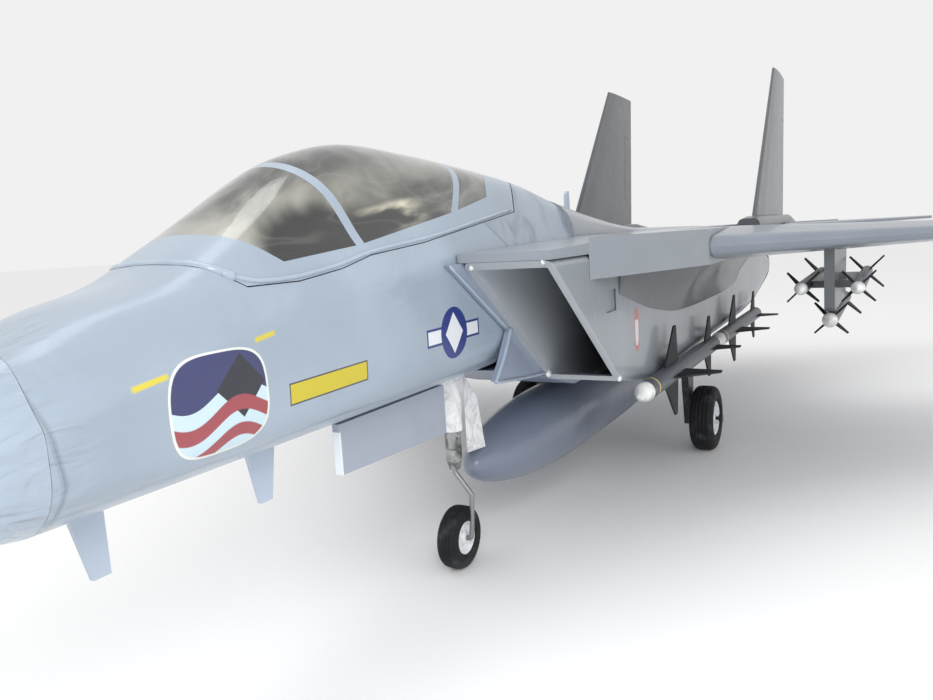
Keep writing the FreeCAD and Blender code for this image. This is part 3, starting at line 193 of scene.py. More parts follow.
class Board:
    """A material being wired up around one Principled shader."""

    def __init__(self, name, **fixed):
        self.material = bpy.data.materials.new(name)
        self.material.use_nodes = True
        self.tree = self.material.node_tree
        self.shader = self.tree.nodes["Principled BSDF"]
        self.set(**fixed)
        self.place = Value(self, self.tree.nodes.new("ShaderNodeTexCoord").outputs["Object"])
        parts = self.node("ShaderNodeSeparateXYZ", {}, self.place).socket.node
        self.x, self.y, self.z = (Value(self, socket) * 1000.0 for socket in parts.outputs)
        self.station = self.y + HALF_LENGTH

    def node(self, kind, settings, *values, output=0):
        made = self.tree.nodes.new(kind)
        for key, setting in settings.items():
            setattr(made, key, setting)
        for socket, value in zip([socket for socket in made.inputs if socket.enabled], values):
            self.plug(socket, value)
        return Value(self, [socket for socket in made.outputs if socket.enabled][output])

    def plug(self, socket, value):
        if isinstance(value, Value):
            self.tree.links.new(value.socket, socket)
        elif value is not None:
            socket.default_value = value

    def set(self, **sockets):
        """Sets the shader's inputs; an underscore stands for a space."""
        for name, value in sockets.items():
            self.plug(self.shader.inputs[name.replace("_", " ")], value)

    def mix(self, first, second, share):
        return self.node("ShaderNodeMix", {"data_type": "RGBA"}, share, first, second)

    def stretched(self, x=1.0, y=1.0, z=1.0, turn=0.0):
        return self.node("ShaderNodeMapping", {}, self.place, (0, 0, 0), (turn, turn, turn), (x, y, z))

    def noise(self, scale, detail=3.0, distortion=0.0, place=None):
        """Cloudy values about 0.5; scale is in clouds per metre."""
        return self.node("ShaderNodeTexNoise", {}, place or self.place, scale, detail, 0.5, 2.0, distortion)

    def creases(self, scale, sharpness, distortion=0.8, place=None):
        """Thin wandering ridges, 1 on the ridge and 0 away from it."""
        return (1.0 - abs(self.noise(scale, 1.5, distortion, place) * 2.0 - 1.0)) ** sharpness

    def relief(self, height, strength=1.0):
        """A bump whose height is in millimetres."""
        bump = self.node("ShaderNodeBump", {}, strength, MM, 1.0, height)
        self.set(Normal=bump)


def paint(red, green, blue):
    """A colour as a painter's 0 to 255 numbers, made linear for the shader."""

    def linear(share):
        return share / 12.92 if share <= 0.04045 else ((share + 0.055) / 1.055) ** 2.4

    return tuple(linear(part / 255) for part in (red, green, blue)) + (1.0,)


def lit(colour, gain):
    return tuple(part * gain for part in colour[:3]) + (1.0,)


def coat(board, *names):
    """Gives the CAD nodes of these names the board's finish; a name's stem takes both sides."""
    for name in names:
        for label in (name, name + "_port", name + "_starboard"):
            if label in nodes:
                nodes[label].data.materials.clear()
                nodes[label].data.materials.append(board.material)


# %% [markdown]
# ## Covering film
#
# The airframe is foam sheet under glossy iron-on film. Film is never quite smooth: it keeps fine creases where it
# was stretched round a curve, small bubbles over the foam's beads, and a step at each overlap. One function lays
# the creases and bubbles down, with a painted highlight along the creases, and each piece adds its own seams; the
# nose film adds its overlap, with a painted shadow along the step.

# %% Film
FILM_PALE = paint(150, 163, 177)
FILM_GREY = paint(129, 137, 149)
FILM_DULL = paint(139, 145, 153)
TANK_GREY = paint(115, 123, 140)
SHADED_FIN_GREY = paint(90, 94, 99)
FOAM_WHITE = paint(224, 230, 236)
PENCIL = paint(60, 62, 70)


def film(name, colour, crumple=1.0, gloss=0.30, stretch=(1, 1, 1)):
    """A glossy covering film. Returns the board, its colour value and its height value."""
    board = Board(name, Coat_Roughness=0.12, Specular_IOR_Level=0.5)
    stretched = board.stretched(*stretch)
    cloud = board.noise(7.0, 4.0, 0.4)
    smear = board.noise(46.0, 3.0, 0.6, stretched)
    tone = board.mix(lit(colour, 0.90), lit(colour, 1.07), cloud.ramp(0.34, 0.66))
    tone = board.mix(tone, lit(colour, 0.80), smear.ramp(0.60, 0.80) * 0.30)
    folds_and_sheen = board.creases(9.0, 16.0, 0.6, stretched) * 0.24 + board.creases(27.0, 9.0, 0.5, stretched) * 0.07
    beads = board.noise(420.0, 2.0) * 0.035 + board.noise(90.0, 2.0) * 0.10
    waves = board.noise(16.0, 1.0, 0.3, stretched) * 0.9
    height = (folds_and_sheen + waves) * crumple + beads
    # The creases are also painted a little lighter: a painted highlight along each fold.
    tone = board.mix(tone, lit(colour, 1.10), folds_and_sheen * 0.25)
    board.set(Roughness=gloss + smear * 0.16, Coat_Weight=0.35)
    return board, tone, height


def line(value, place, width):
    """1 on a line of that width where value equals place, fading at its edges."""
    return 1.0 - abs(value - place).ramp(width * 0.35, width * 0.75)


def band(value, low, high, soft=0.4):
    return value.ramp(low - soft, low + soft) * value.ramp(high + soft, high - soft)


def skin(board, tone, height):
    board.set(Base_Color=tone)
    board.relief(height)
    return board


# %% [markdown]
# ## Wings, tail and spine
#
# These pieces are seen from further away, so their film needs broad creases more than fine ones. Each has its own
# tint, because the real one was covered from several rolls, and the fins are painted a darker grey that stands for
# the shade they sit in: painted shade.

# %% Wing and tail film
board, tone, height = film("wing_film", FILM_GREY, 0.8, stretch=(0.5, 1.4, 1.0))
reach = abs(board.x)
tape = line(board.station - reach * 0.218, 1043.6, 3.0) * (reach > 328.0) * (reach < 492.0)
root = line(reach, 172.0, 2.2)
tone = board.mix(tone, lit(FILM_GREY, 0.55), (root | tape) * 0.5)
skin(board, tone, height - root * 0.5 + tape * 0.25)
coat(board, "wing", "aileron", "stabilator")

board, tone, height = film("glove_film", FILM_DULL, 0.7, gloss=0.22, stretch=(0.6, 0.5, 1.6))
skin(board, tone, height)
coat(board, "glove", "spine_deck")

# The fin, rudder and booms are painted dark grey for the shade they sit in: painted shade.
board, tone, height = film("fin_film", SHADED_FIN_GREY, 0.6, gloss=0.36)
skin(board, tone, height)
coat(board, "fin", "rudder", "tail_boom")

# The fairings and pylons take a still darker copy of the shaded grey: painted shade under the glove and wing.
board, tone, height = film("fairing_film", lit(SHADED_FIN_GREY, 0.92), 1.0, gloss=0.38)
skin(board, tone, height)
coat(board, "conformal_tank", "store_pylons")

board, tone, height = film("tank_film", TANK_GREY, 0.35, gloss=0.34)
rings = line(board.station, 741.0, 1.6) | line(board.station, 891.0, 1.6)
skin(board, board.mix(tone, lit(TANK_GREY, 0.6), rings * 0.5), height - rings * 0.3)
coat(board, "drop_tank")

board, tone, height = film("door_film", paint(150, 158, 172), 0.25, gloss=0.4)
rim = (board.station < 366.2) * (board.z < 158.0)
skin(board, board.mix(tone, FOAM_WHITE, rim), height)
coat(board, "nose_door")

board, tone, height = film("blade_film", paint(172, 185, 201), 0.1, gloss=0.42)
skin(board, tone, height)
coat(board, "blade_antennas")
print("wing, tail and store film ready")

# %% [markdown]
# ## Nose film and its markings
#
# The markings are thin stickers under a clear edge, so they belong to the film: a sticker is a colour
# between two stations and two levels, and a shallow step in the surface. Their shapes are distances
# worked out from the piece's own coordinates, which keeps their edges sharp at any size. They are plain
# geometric stand-ins: a striped badge, a disc with a diamond and side bars, and a yellow bar.

# %% Nose film


def rounded_square(board, station, level, half_length, half_height, power):
    """A value that is 1 at the outline of a rounded square and less inside it."""
    across = abs(board.station - station) / half_length
    upright = abs(board.z - level) / half_height
    return across ** power + upright ** power


def markings(board, tone, height):
    side = abs(board.x) > 34.0
    badge = rounded_square(board, 256.0, 201.5, 29.0, 23.5, 3.2)
    wave = board.node("ShaderNodeMath", {"operation": "SINE"}, board.station * 0.11 + 0.6)
    row = board.z - 203.0 + wave * 5.0
    field = board.mix(paint(188, 210, 220), paint(52, 56, 100), row > 2.0)
    field = board.mix(field, paint(38, 40, 50), rounded_square(board, 268.0, 207.0, 15.0, 15.0, 1.0) < 1.0)
    field = board.mix(field, paint(150, 66, 74), band(row, -12.0, -5.0, 0.3))
    field = board.mix(field, paint(150, 66, 74), band(row, -24.0, -18.0, 0.3))
    field = board.mix(field, paint(216, 220, 214), band(badge, 0.86, 1.0, 0.02))
    tone = board.mix(tone, field, (badge < 1.0) * side)

    streak_rise = board.z - 201.5 - (board.station - 214.0) * 0.155
    beside = band(board.station, 212, 229, 1.0) | band(board.station, 279, 292, 1.0)
    streak = band(streak_rise, 13.2, 15.6, 0.5) * beside
    tone = board.mix(tone, paint(200, 186, 62), streak * side)

    slope = board.z - 196.3 - (board.station - 331.0) * 0.02
    inside = band(board.station, 299.8, 362.2, 0.3) * band(slope, -4.9, 4.9, 0.2)
    edge = band(board.station, 299.0, 363.0, 0.3) * band(slope, -5.7, 5.7, 0.2)
    tone = board.mix(tone, PENCIL, edge * side)
    tone = board.mix(tone, paint(193, 178, 38), inside * side)

    disc = rounded_square(board, 462.0, 204.5, 17.5, 17.5, 2.0)
    diamond = rounded_square(board, 462.0, 204.5, 11.5, 14.0, 1.0)
    bars = band(board.station, 427.0, 497.0, 0.3) * band(board.z, 198.6, 210.4, 0.3)
    pale_bars = band(board.station, 428.6, 495.4, 0.3) * band(board.z, 200.2, 208.8, 0.3)
    marine, chalk = paint(44, 58, 124), paint(222, 226, 232)
    tone = board.mix(tone, marine, bars * side)
    tone = board.mix(tone, chalk, pale_bars * side)
    tone = board.mix(tone, marine, (disc < 1.0) * side)
    tone = board.mix(tone, chalk, (diamond < 1.0) * side)
    stickers = ((badge < 1.0) | edge | bars | (disc < 1.0)) * side
    return tone, height + stickers * 0.12


board, tone, height = film("nose_film", FILM_PALE, 0.8, gloss=0.25, stretch=(1.0, 0.7, 1.3))
near_joint = board.station.ramp(215.0, 176.0)
puckers = board.noise(60.0, 2.0, 1.2, board.stretched(1.6, 0.35, 1.6)) * near_joint
overlap = board.station + abs(board.z - 186.0) * 0.16
lap = overlap.ramp(179.6, 180.8)
lap_shadow = line(overlap, 180.0, 2.6)
lower_seam = line(board.z - (board.station - 175.0) * 0.004 + board.noise(18.0, 2.0) * 6.0, 176.0, 1.6)
rear_seam = line(board.z + (board.station - 548.0) * 0.62, 262.0, 2.0) * (board.station > 470.0)
tone = board.mix(tone, lit(FILM_PALE, 0.62), (lap_shadow * 0.45) | (lower_seam * 0.22) | (rear_seam * 0.35))
behind_canopy = board.station.ramp(440.0, 540.0) * board.z.ramp(225.0, 262.0)
smudge = board.noise(34.0, 4.0, 0.8).ramp(0.50, 0.72) * behind_canopy
tone = board.mix(tone, lit(FILM_PALE, 0.42), smudge * 0.55)
pulls = board.noise(30.0, 2.0, 0.9, board.stretched(1.3, 0.45, 0.8)) * band(board.station, 235.0, 420.0, 40.0)
drape = board.creases(14.0, 7.0, 0.8, board.stretched(1.0, 0.35, 1.0))
drape = drape * board.station.ramp(260.0, 200.0) * 0.5
folded = height + puckers * 2.8 + pulls * board.z.ramp(205.0, 245.0) * 2.6 + drape
tone, height = markings(board, tone, folded - lap * 0.35 + lower_seam * 0.4 + rear_seam * 0.5)
skin(board, tone, height)
coat(board, "forward_fuselage")

board, tone, height = film("radome_film", lit(FILM_PALE, 1.05), 1.3, gloss=0.22, stretch=(1.0, 0.6, 1.2))
puckers = board.noise(42.0, 2.5, 1.6, board.stretched(1.5, 0.4, 1.5)) * board.station.ramp(120.0, 174.0)
skin(board, tone, height + puckers * 4.0)
coat(board, "radome")

board, tone, height = film("frame_film", lit(FILM_PALE, 1.0), 0.5, gloss=0.24)
skin(board, tone, height)
coat(board, "canopy_frame")
print("nose film ready")

# %% [markdown]
# ## Intakes
#
# The ducts are foam sheet covered on the outside only. Inside they are painted with light and shade: a painted
# light on the inner wall by the ramp and painted shade deeper in. At their raked lips the cut edge of the sheet
# shows pale, and a small vent and a narrow warning mark sit on each side.

# %% Intake film
board, tone, height = film("intake_film", lit(FILM_DULL, 0.97), 0.8, gloss=0.34)
reach = abs(board.x)
behind_lip = board.station - 470.0 - (250.0 - board.z) * 1.298
within = (reach < 116.6) * (reach > 53.0) * (board.z > 131.0) * (behind_lip > 1.0) * (board.z < 249.0)
near_ramp = reach.ramp(70.0, 62.0)
# Painted shade: deep in the duct, away from the ramp, the wall is painted near black.
painted_duct_shade = within * (behind_lip.ramp(20.0, 150.0) * (1.0 - near_ramp) | behind_lip.ramp(150.0, 280.0))
# Painted light: inside the lip the wall is painted a lighter copy of the film, whiter towards the ramp.
tone = board.mix(tone, board.mix(lit(FILM_DULL, 1.15), FOAM_WHITE, near_ramp * 0.45), within)
tone = board.mix(tone, paint(40, 42, 46), painted_duct_shade)
cut_edge = line(behind_lip, 0.0, 2.4)
tone = board.mix(tone, lit(FOAM_WHITE, 0.62), cut_edge * 0.7)
outside = reach > 117.5
vent = band(board.station, 573.0, 599.0, 0.4) * band(board.z, 203.0, 222.0, 0.4) * outside
tone = board.mix(tone, paint(74, 77, 84), vent * (reach < 118.5))
mark = rounded_square(board, 650.0, 182.0, 6.5, 19.0, 2.4)
tone = board.mix(tone, paint(176, 74, 74), band(mark, 0.52, 1.0, 0.03) * outside)
tone = board.mix(tone, paint(200, 204, 206), (mark < 0.48) * outside)
tone = board.mix(tone, paint(182, 84, 84), band(board.z, 190.0, 200.0, 0.4) * (mark < 0.9) * outside)
glue = board.noise(44.0, 3.0, 1.0, board.stretched(1.0, 1.0, 0.5)).ramp(0.62, 0.74) * outside
tone = board.mix(tone, FOAM_WHITE, glue * 0.10)
board.set(Roughness=0.36 + painted_duct_shade * 0.4)
skin(board, tone, height + glue * 0.2)
coat(board, "intake", "nacelle")

board, tone, height = film("splitter_film", paint(140, 151, 170), 0.6, gloss=0.36)
skin(board, tone, height)
coat(board, "splitter", "centre_fuselage")
print("intake film ready")

# %% [markdown]
# ## Canopy glazing
#
# The panes are thin smoked plastic, formed over a block, so they are dark, a little wavy and very glossy. The
# smoke is partly see-through, which Alpha gives without the cost of refraction, and a full coat carries the
# reflections. On top of the smoke the colour carries painted reflections: a warm silvery painted reflection,
# densest on the windscreen's crown, and a bright painted highlight along the rear pane's sill, each mixed from
# noise and distances from those places.

# %% Smoked panes
board = Board("smoked_pane", Specular_IOR_Level=0.7, Coat_Weight=1.0, Coat_Roughness=0.05, IOR=1.49)
pane_patches = board.noise(15.0, 4.0, 0.9, board.stretched(1.0, 0.6, 1.4))
scratches = board.creases(40.0, 60.0, 0.2, board.stretched(1.0, 0.25, 1.0))
along_bow = board.station + (board.z - 267.0) * 0.574
windscreen = along_bow.ramp(378.0, 372.0)
from_corner = (abs(along_bow - 356.0) / 62.0) ** 2.0 + (abs(board.z - 258.0) / 30.0) ** 2.0
# Painted reflection: a warm silvery patch, densest on the windscreen's crown.
painted_crown_reflection = from_corner.ramp(0.55, 1.5) * windscreen * 0.24
above_sill = board.z - 267.0 - (board.station - 375.0) * 0.165
# Painted highlight: a bright line along the rear pane's sill.
painted_sill_highlight = line(above_sill, 9.0, 15.0) * band(along_bow, 388.0, 452.0, 16.0) * pane_patches.ramp(0.36, 0.52)
painted_reflection_share = (pane_patches + painted_crown_reflection + (1.0 - windscreen) * 0.06 - windscreen * 0.10).ramp(0.44, 0.78)
tone = board.mix(paint(24, 25, 25), paint(160, 159, 149), painted_reflection_share * 0.85)
tone = board.mix(tone, paint(236, 231, 206), painted_sill_highlight * 0.85)
tone = board.mix(tone, paint(176, 176, 168), scratches * 0.12)
board.set(Base_Color=tone, Roughness=0.10 + pane_patches * 0.18, Alpha=0.88 + (painted_reflection_share | painted_sill_highlight) * 0.12)
board.relief(board.noise(22.0, 1.0, 0.5) * 2.6 + pane_patches * 0.8)
coat(board, "canopy_glass")

board = Board("cockpit_black", Roughness=0.65)
board.set(Base_Color=board.mix(paint(26, 27, 29), paint(48, 49, 52), board.noise(60.0)))
board.relief(board.noise(500.0) * 0.1)
coat(board, "cockpit_tub")
print("canopy ready")

# %% [markdown]
# ## Small finishes
#
# Rubber, nylon, wire, tube, painted metal and bare foam each have a grain of their own size. Keeping
# them in one cell makes it easy to compare their roughness.

# %% Small finishes
board = Board("tyre_rubber", Specular_IOR_Level=0.35)
dust = board.noise(70.0, 4.0)
tone = board.mix(paint(20, 21, 23), paint(58, 60, 64), dust.ramp(0.5, 0.75))
board.set(Base_Color=tone, Roughness=0.62 + dust * 0.2)
board.relief(board.noise(900.0, 2.0) * 0.12 + board.noise(180.0) * 0.1)
TYRE = board.material

board = Board("hub_nylon", Coat_Weight=0.1)
scuff = board.noise(120.0, 3.0)
tone = board.mix(paint(208, 212, 216), paint(238, 240, 242), scuff)
board.set(Base_Color=tone, Roughness=0.38 + scuff * 0.2)
board.relief(board.noise(300.0) * 0.04)
HUB = board.material

board = Board("drawn_wire", Metallic=1.0)
rub = board.noise(160.0, 3.0, 0.0, board.stretched(1.0, 1.0, 0.2))
board.set(Base_Color=board.mix(paint(120, 122, 124), paint(176, 178, 180), rub), Roughness=0.28 + rub * 0.25)
board.relief(board.noise(700.0) * 0.02)
coat(board, "nose_leg")

board = Board("mottled_tube", Metallic=0.85)
mottle = board.noise(130.0, 4.0, 0.8)
rust = (board.noise(90.0, 3.0) > 0.60) * board.z.ramp(104.0, 90.0)
tone = board.mix(paint(92, 92, 90), paint(176, 178, 178), mottle.ramp(0.35, 0.7))
board.set(Base_Color=board.mix(tone, paint(110, 62, 44), rust * 0.8), Roughness=0.35 + mottle * 0.25)
board.relief(mottle * 0.15)
coat(board, "nose_strut")

board = Board("leg_paint", Roughness=0.4)
chips = board.creases(60.0, 16.0, 0.6)
board.set(Base_Color=board.mix(paint(34, 35, 38), paint(92, 92, 94), chips * 0.5))
board.relief(board.noise(400.0) * 0.05 - chips * 0.05)
coat(board, "main_leg")

board = Board("bare_foam")
cells = board.node("ShaderNodeTexVoronoi", {"feature": "DISTANCE_TO_EDGE"}, board.place, 520.0)
crumple = board.noise(85.0, 3.0, 1.6)
tone = board.mix(paint(206, 208, 210), paint(240, 241, 242), crumple.ramp(0.3, 0.6))
board.set(Base_Color=tone, Roughness=0.6 + crumple * 0.1)
board.relief(cells * 0.25 + crumple * 0.9)
coat(board, "nose_flap")
FOAM = board.material

board = Board("fan_nylon", Roughness=0.45, Specular_IOR_Level=0.4)
board.set(Base_Color=board.mix(paint(24, 25, 27), paint(46, 47, 50), board.noise(90.0)))
board.relief(board.noise(500.0) * 0.06)
coat(board, "fan_housing", "fan_rotor")

board = Board("carbon_tube", Roughness=0.3, Coat_Weight=0.5)
weave = board.node("ShaderNodeTexChecker", {}, board.place, paint(20, 20, 22), paint(44, 45, 48), 600.0)
board.set(Base_Color=weave)
coat(board, "wing_spar")

board = Board("battery_wrap", Roughness=0.35)
board.set(Base_Color=board.mix(paint(26, 44, 96), paint(50, 76, 140), board.noise(40.0)))
coat(board, "flight_battery")

board = Board("case_plastic", Roughness=0.5)
board.set(Base_Color=board.mix(paint(28, 29, 30), paint(50, 50, 52), board.noise(80.0)))
coat(board, "radio_and_controllers", "servos")
print("small finishes ready")

# %% [markdown]
# ## Missiles
#
# Each store is a dowel with card fins and a turned nose. The body tubes are dark grey with one thin
# yellow ring behind the nose; the ring sits at the same distance from every nose of a row, so a band
# in stations is enough.

# %% Missile finishes
board = Board("missile_body", Coat_Weight=0.2)
fleck = board.noise(150.0, 3.0)
ring = band(board.station, 654.0, 657.0, 0.4) | band(board.station, 958.0, 961.0, 0.4)
tone = board.mix(paint(58, 62, 68), paint(92, 98, 108), fleck)
tone = board.mix(tone, paint(206, 186, 96), ring * (board.z < 150.0))
board.set(Base_Color=tone, Roughness=0.42 + fleck * 0.15)
board.relief(fleck * 0.08)
coat(board, "missile_tubes")

board = Board("missile_cap", Coat_Weight=0.5)
smudge = board.noise(110.0, 3.0)
tone = board.mix(paint(198, 200, 200), paint(236, 237, 236), smudge.ramp(0.35, 0.6))
board.set(Base_Color=tone, Roughness=0.28 + smudge * 0.2)
board.relief(smudge * 0.05)
coat(board, "missile_noses")

board = Board("fin_card", Specular_IOR_Level=0.3)
wear = board.noise(90.0, 3.0)
tone = board.mix(paint(22, 23, 26), paint(54, 57, 62), wear.ramp(0.4, 0.8))
board.set(Base_Color=tone, Roughness=0.5 + wear * 0.2)
board.relief(wear * 0.1)
coat(board, "missile_fins")
print("missiles ready")

# %% [markdown]
# ## Making pieces
#
# Every new piece ends the same way: its faces are turned outwards, it becomes an object at the origin,
# and it rides on the body that it is fixed to. Turned parts, such as tyres and hubs, are one profile
# spun about an axle, which is how they are moulded.

# %% Making pieces


def piece(mesh, name, body, material, smooth=True, recalculate=True):
    """Makes an object of a bmesh, in place, riding on a body."""
    if recalculate:
        bmesh.ops.remove_doubles(mesh, verts=mesh.verts, dist=0.00002)
        bmesh.ops.recalc_face_normals(mesh, faces=mesh.faces)
    for face in mesh.faces:
        face.smooth = smooth
    data = bpy.data.meshes.new(name)
    mesh.to_mesh(data)
    mesh.free()
    data.materials.append(material)
    made = bpy.data.objects.new(name, data)
    scene.collection.objects.link(made)
    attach(made, body)
    return made


def sharpen(made, degrees=35):
    """Keeps edges crisp where faces meet at more than this angle."""
    made.data.set_sharp_from_angle(angle=math.radians(degrees))


def turned(profile, centre, steps=72):
    """A ring about the X axis from (along, radius) points in millimetres; a closed profile gives a solid."""
    mesh = bmesh.new()
    points = [mesh.verts.new(centre + Vector((along, 0, radius)) * MM) for along, radius in profile]
    edges = [mesh.edges.new((first, second)) for first, second in zip(points, points[1:] + points[:1])]
    bmesh.ops.spin(mesh, geom=points + edges, cent=centre, axis=(1, 0, 0), angle=math.tau, steps=steps,
                   use_merge=True)
    return mesh


def block(mesh, size, centre, bevel=0.0, turn=None):
    """Adds a box with rounded edges to a mesh; size in millimetres, centre in metres."""
    made = bmesh.ops.create_cube(mesh, size=1.0)["verts"]
    bmesh.ops.scale(mesh, vec=Vector(size) * MM, verts=made)
    if bevel:
        edges = list({edge for vert in made for edge in vert.link_edges})
        rounded = bmesh.ops.bevel(mesh, geom=edges, offset=bevel * MM, segments=3, profile=0.5,
                                  affect="EDGES", material=-1)
        made = rounded["verts"]
        linked = {vert for face in rounded["faces"] for vert in face.verts}
        made = list(set(made) | linked)
    if turn:
        bmesh.ops.rotate(mesh, cent=(0, 0, 0), matrix=turn, verts=made)
    bmesh.ops.translate(mesh, vec=centre, verts=made)
    return made


# %% [markdown]
# ## Wheels
#
# A model wheel is a soft tyre on a white nylon hub. The tyre's shoulder is round and its tread has
# shallow grooves; the hub is a dish with a raised rim, ribs and an axle boss. The axle stays in the CAD
# leg, so the hub keeps a clear bore for it.

# %% Wheels


def wheel(name, centre, radius, width, hub_radius, axle_radius, body, tyre_node, hub_node):
    half = width / 2
    rise = radius - hub_radius
    outer = [(0.72, 0.02), (0.88, 0.06), (0.97, 0.22), (1.0, 0.42), (0.975, 0.62), (0.90, 0.78),
             (0.78, 0.90), (0.62, 0.965), (0.52, 0.985), (0.49, 0.95), (0.45, 0.95), (0.42, 0.992),
             (0.22, 1.0), (0.19, 0.965), (0.15, 0.965), (0.12, 1.0)]
    wall = [(half * along, hub_radius + rise * share) for along, share in outer]
    tyre_profile = wall + [(-along, radius_here) for along, radius_here in reversed(wall)]
    tyre = piece(turned(tyre_profile, centre, 96), name + "_tyre", body, TYRE)
    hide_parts(tyre_node)

    lip = hub_radius - 0.1
    depth = half * 0.62
    bore = axle_radius + 0.08
    dish = [(half * 0.82, lip), (half * 0.86, lip - 1.2), (half * 0.80, lip - 2.4), (depth, lip - 3.2),
            (depth - 1.2, axle_radius + 4.0),
            (half * 0.80, axle_radius + 2.8), (half * 0.84, axle_radius + 2.2), (half * 0.84, bore)]
    hub_profile = dish + [(-along, here) for along, here in reversed(dish)]
    mesh = turned(hub_profile, centre, 64)
    for index in range(5):
        turn = Matrix.Rotation(math.tau * index / 5 + 0.3, 3, "X")
        for side in (1, -1):
            middle = 0.5 * (lip - 3.0 + axle_radius + 3.2)
            spoke = centre + turn @ Vector((side * (depth + 0.2), 0, middle)) * MM
            block(mesh, (1.8, 1.6, lip - axle_radius - 5.4), spoke, 0.35, turn)
    hub = piece(mesh, name + "_hub", body, HUB)
    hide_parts(hub_node)
    sharpen(hub)
    return tyre


AXLE_RADIUS = 2.0
for label, ending in (("nose_wheel", "nose_{}"), ("main_port_wheel", "main_{}_port"),
                      ("main_starboard_wheel", "main_{}_starboard")):
    tyre_node, hub_node = ending.format("tyre"), ending.format("hub")
    body = {"nose_{}": "nose_wheel"}.get(ending, ending.format("wheel"))
    low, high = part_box(tyre_node)
    hub_low, hub_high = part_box(hub_node)
    radius, width, hub_radius = (high.z - low.z) / 2 / MM, (high.x - low.x) / MM, (hub_high.z - hub_low.z) / 2 / MM
    wheel(label, (low + high) / 2, radius, width, hub_radius, AXLE_RADIUS, body, tyre_node, hub_node)
print("wheels made")

# %% [markdown]
# ## Exhaust nozzles
#
# The nozzle is a ring of overlapping metal petals. It starts as two open cones, joined at both ends to
# make a wall; insetting the outer panels one by one raises a rib between each pair of petals.

# %% Nozzles
board = Board("nozzle_paint", Metallic=0.7)
heat = board.noise(30.0, 4.0, 0.5, board.stretched(1.0, 0.4, 1.0))
soot = board.station.ramp(1560.0, 1620.0)
tone = board.mix(paint(86, 86, 90), paint(128, 126, 124), heat)
tone = board.mix(tone, paint(64, 52, 50), soot * heat)
board.set(Base_Color=tone, Roughness=0.36 + heat * 0.25)
board.relief(heat * 0.15)
NOZZLE = board.material
PETALS = 16


def nozzle(side):
    node = "nozzle_" + side
    low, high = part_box(node)
    centre = (low + high) / 2
    mesh = bmesh.new()
    rings = []
    outside = [(share, True) for share in (0.0, 0.06, 0.5, 0.94, 1.0)]
    for share, outer in outside + [(1.0, False), (0.5, False), (0.0, False)]:
        station = low.y + (high.y - low.y) * share
        radius = (47.0 - 8.0 * share - (0.0 if outer else 2.6)) * MM
        made = bmesh.ops.create_circle(mesh, segments=PETALS * 3, radius=radius)["verts"]
        bmesh.ops.rotate(mesh, cent=(0, 0, 0), matrix=Matrix.Rotation(math.pi / 2, 3, "X"), verts=made)
        bmesh.ops.translate(mesh, vec=(centre.x, station, centre.z), verts=made)
        rings.append([edge for edge in mesh.edges if edge.verts[0] in made and edge.verts[1] in made])
    for first, second in zip(rings, rings[1:] + rings[:1]):
        bmesh.ops.bridge_loops(mesh, edges=first + second)
    bmesh.ops.recalc_face_normals(mesh, faces=mesh.faces)
    petals = {}
    for face in mesh.faces:
        middle = face.calc_center_median() - centre
        ring_radius = math.hypot(middle.x, middle.z)
        share = (middle.y + centre.y - low.y) / (high.y - low.y)
        if 0.06 < share < 0.94 and ring_radius > (45.2 - 8.0 * share) * MM:
            turn = math.atan2(middle.x, middle.z) % math.tau
            petals.setdefault(int(turn / math.tau * PETALS), []).append(face)
    for faces in petals.values():
        bmesh.ops.inset_region(mesh, faces=faces, thickness=1.1 * MM, depth=-0.8 * MM)
    made = piece(mesh, node + "_petals", "airframe", NOZZLE, smooth=True, recalculate=False)
    sharpen(made, 28)
    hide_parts(node)


for side in ("port", "starboard"):
    nozzle(side)
print("nozzles made")

# %% [markdown]
# ## Seats
#
# Two seats show faintly through the smoked panes. Each is a bucket, two cushions, a headrest between
# rails and a pair of straps, made of rounded blocks.

# %% Seats
board = Board("seat_cloth", Roughness=0.8)
board.set(Base_Color=board.mix(paint(52, 56, 44), paint(82, 86, 68), board.noise(70.0)))
board.relief(board.noise(800.0) * 0.2)
SEAT = board.material
low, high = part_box("pilot_seats")
pitch = 92.0
mesh = bmesh.new()
for index in range(2):
    foot = Vector((0, low.y + (12 + index * pitch) * MM, low.z))
    recline = Matrix.Rotation(math.radians(-10), 3, "X")
    block(mesh, (28, 24, 9), foot + Vector((0, 0, 6)) * MM, 3.0)
    block(mesh, (24, 7, 36), foot + Vector((0, 15, 27)) * MM, 2.6, recline)
    block(mesh, (18, 9, 13), foot + Vector((0, 17, 56)) * MM, 2.8, recline)
    for side in (-1, 1):
        block(mesh, (2.4, 9, 56), foot + Vector((side * 13, 19, 31)) * MM, 0.8, recline)
        block(mesh, (3.0, 1.2, 30), foot + Vector((side * 6, 11.2, 28)) * MM, 0.4, recline)
seats = piece(mesh, "seat_pair", "airframe", SEAT, recalculate=False)
sharpen(seats)
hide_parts("pilot_seats")
print("seats made")

# %% [markdown]
# ## Crumpled strut cover
#
# The cover on the nose strut is a hand-rolled white sleeve. It starts as a fine tube and is pushed in
# and out by a few seeded waves, more at its ragged top than at its foot, then given a wall.

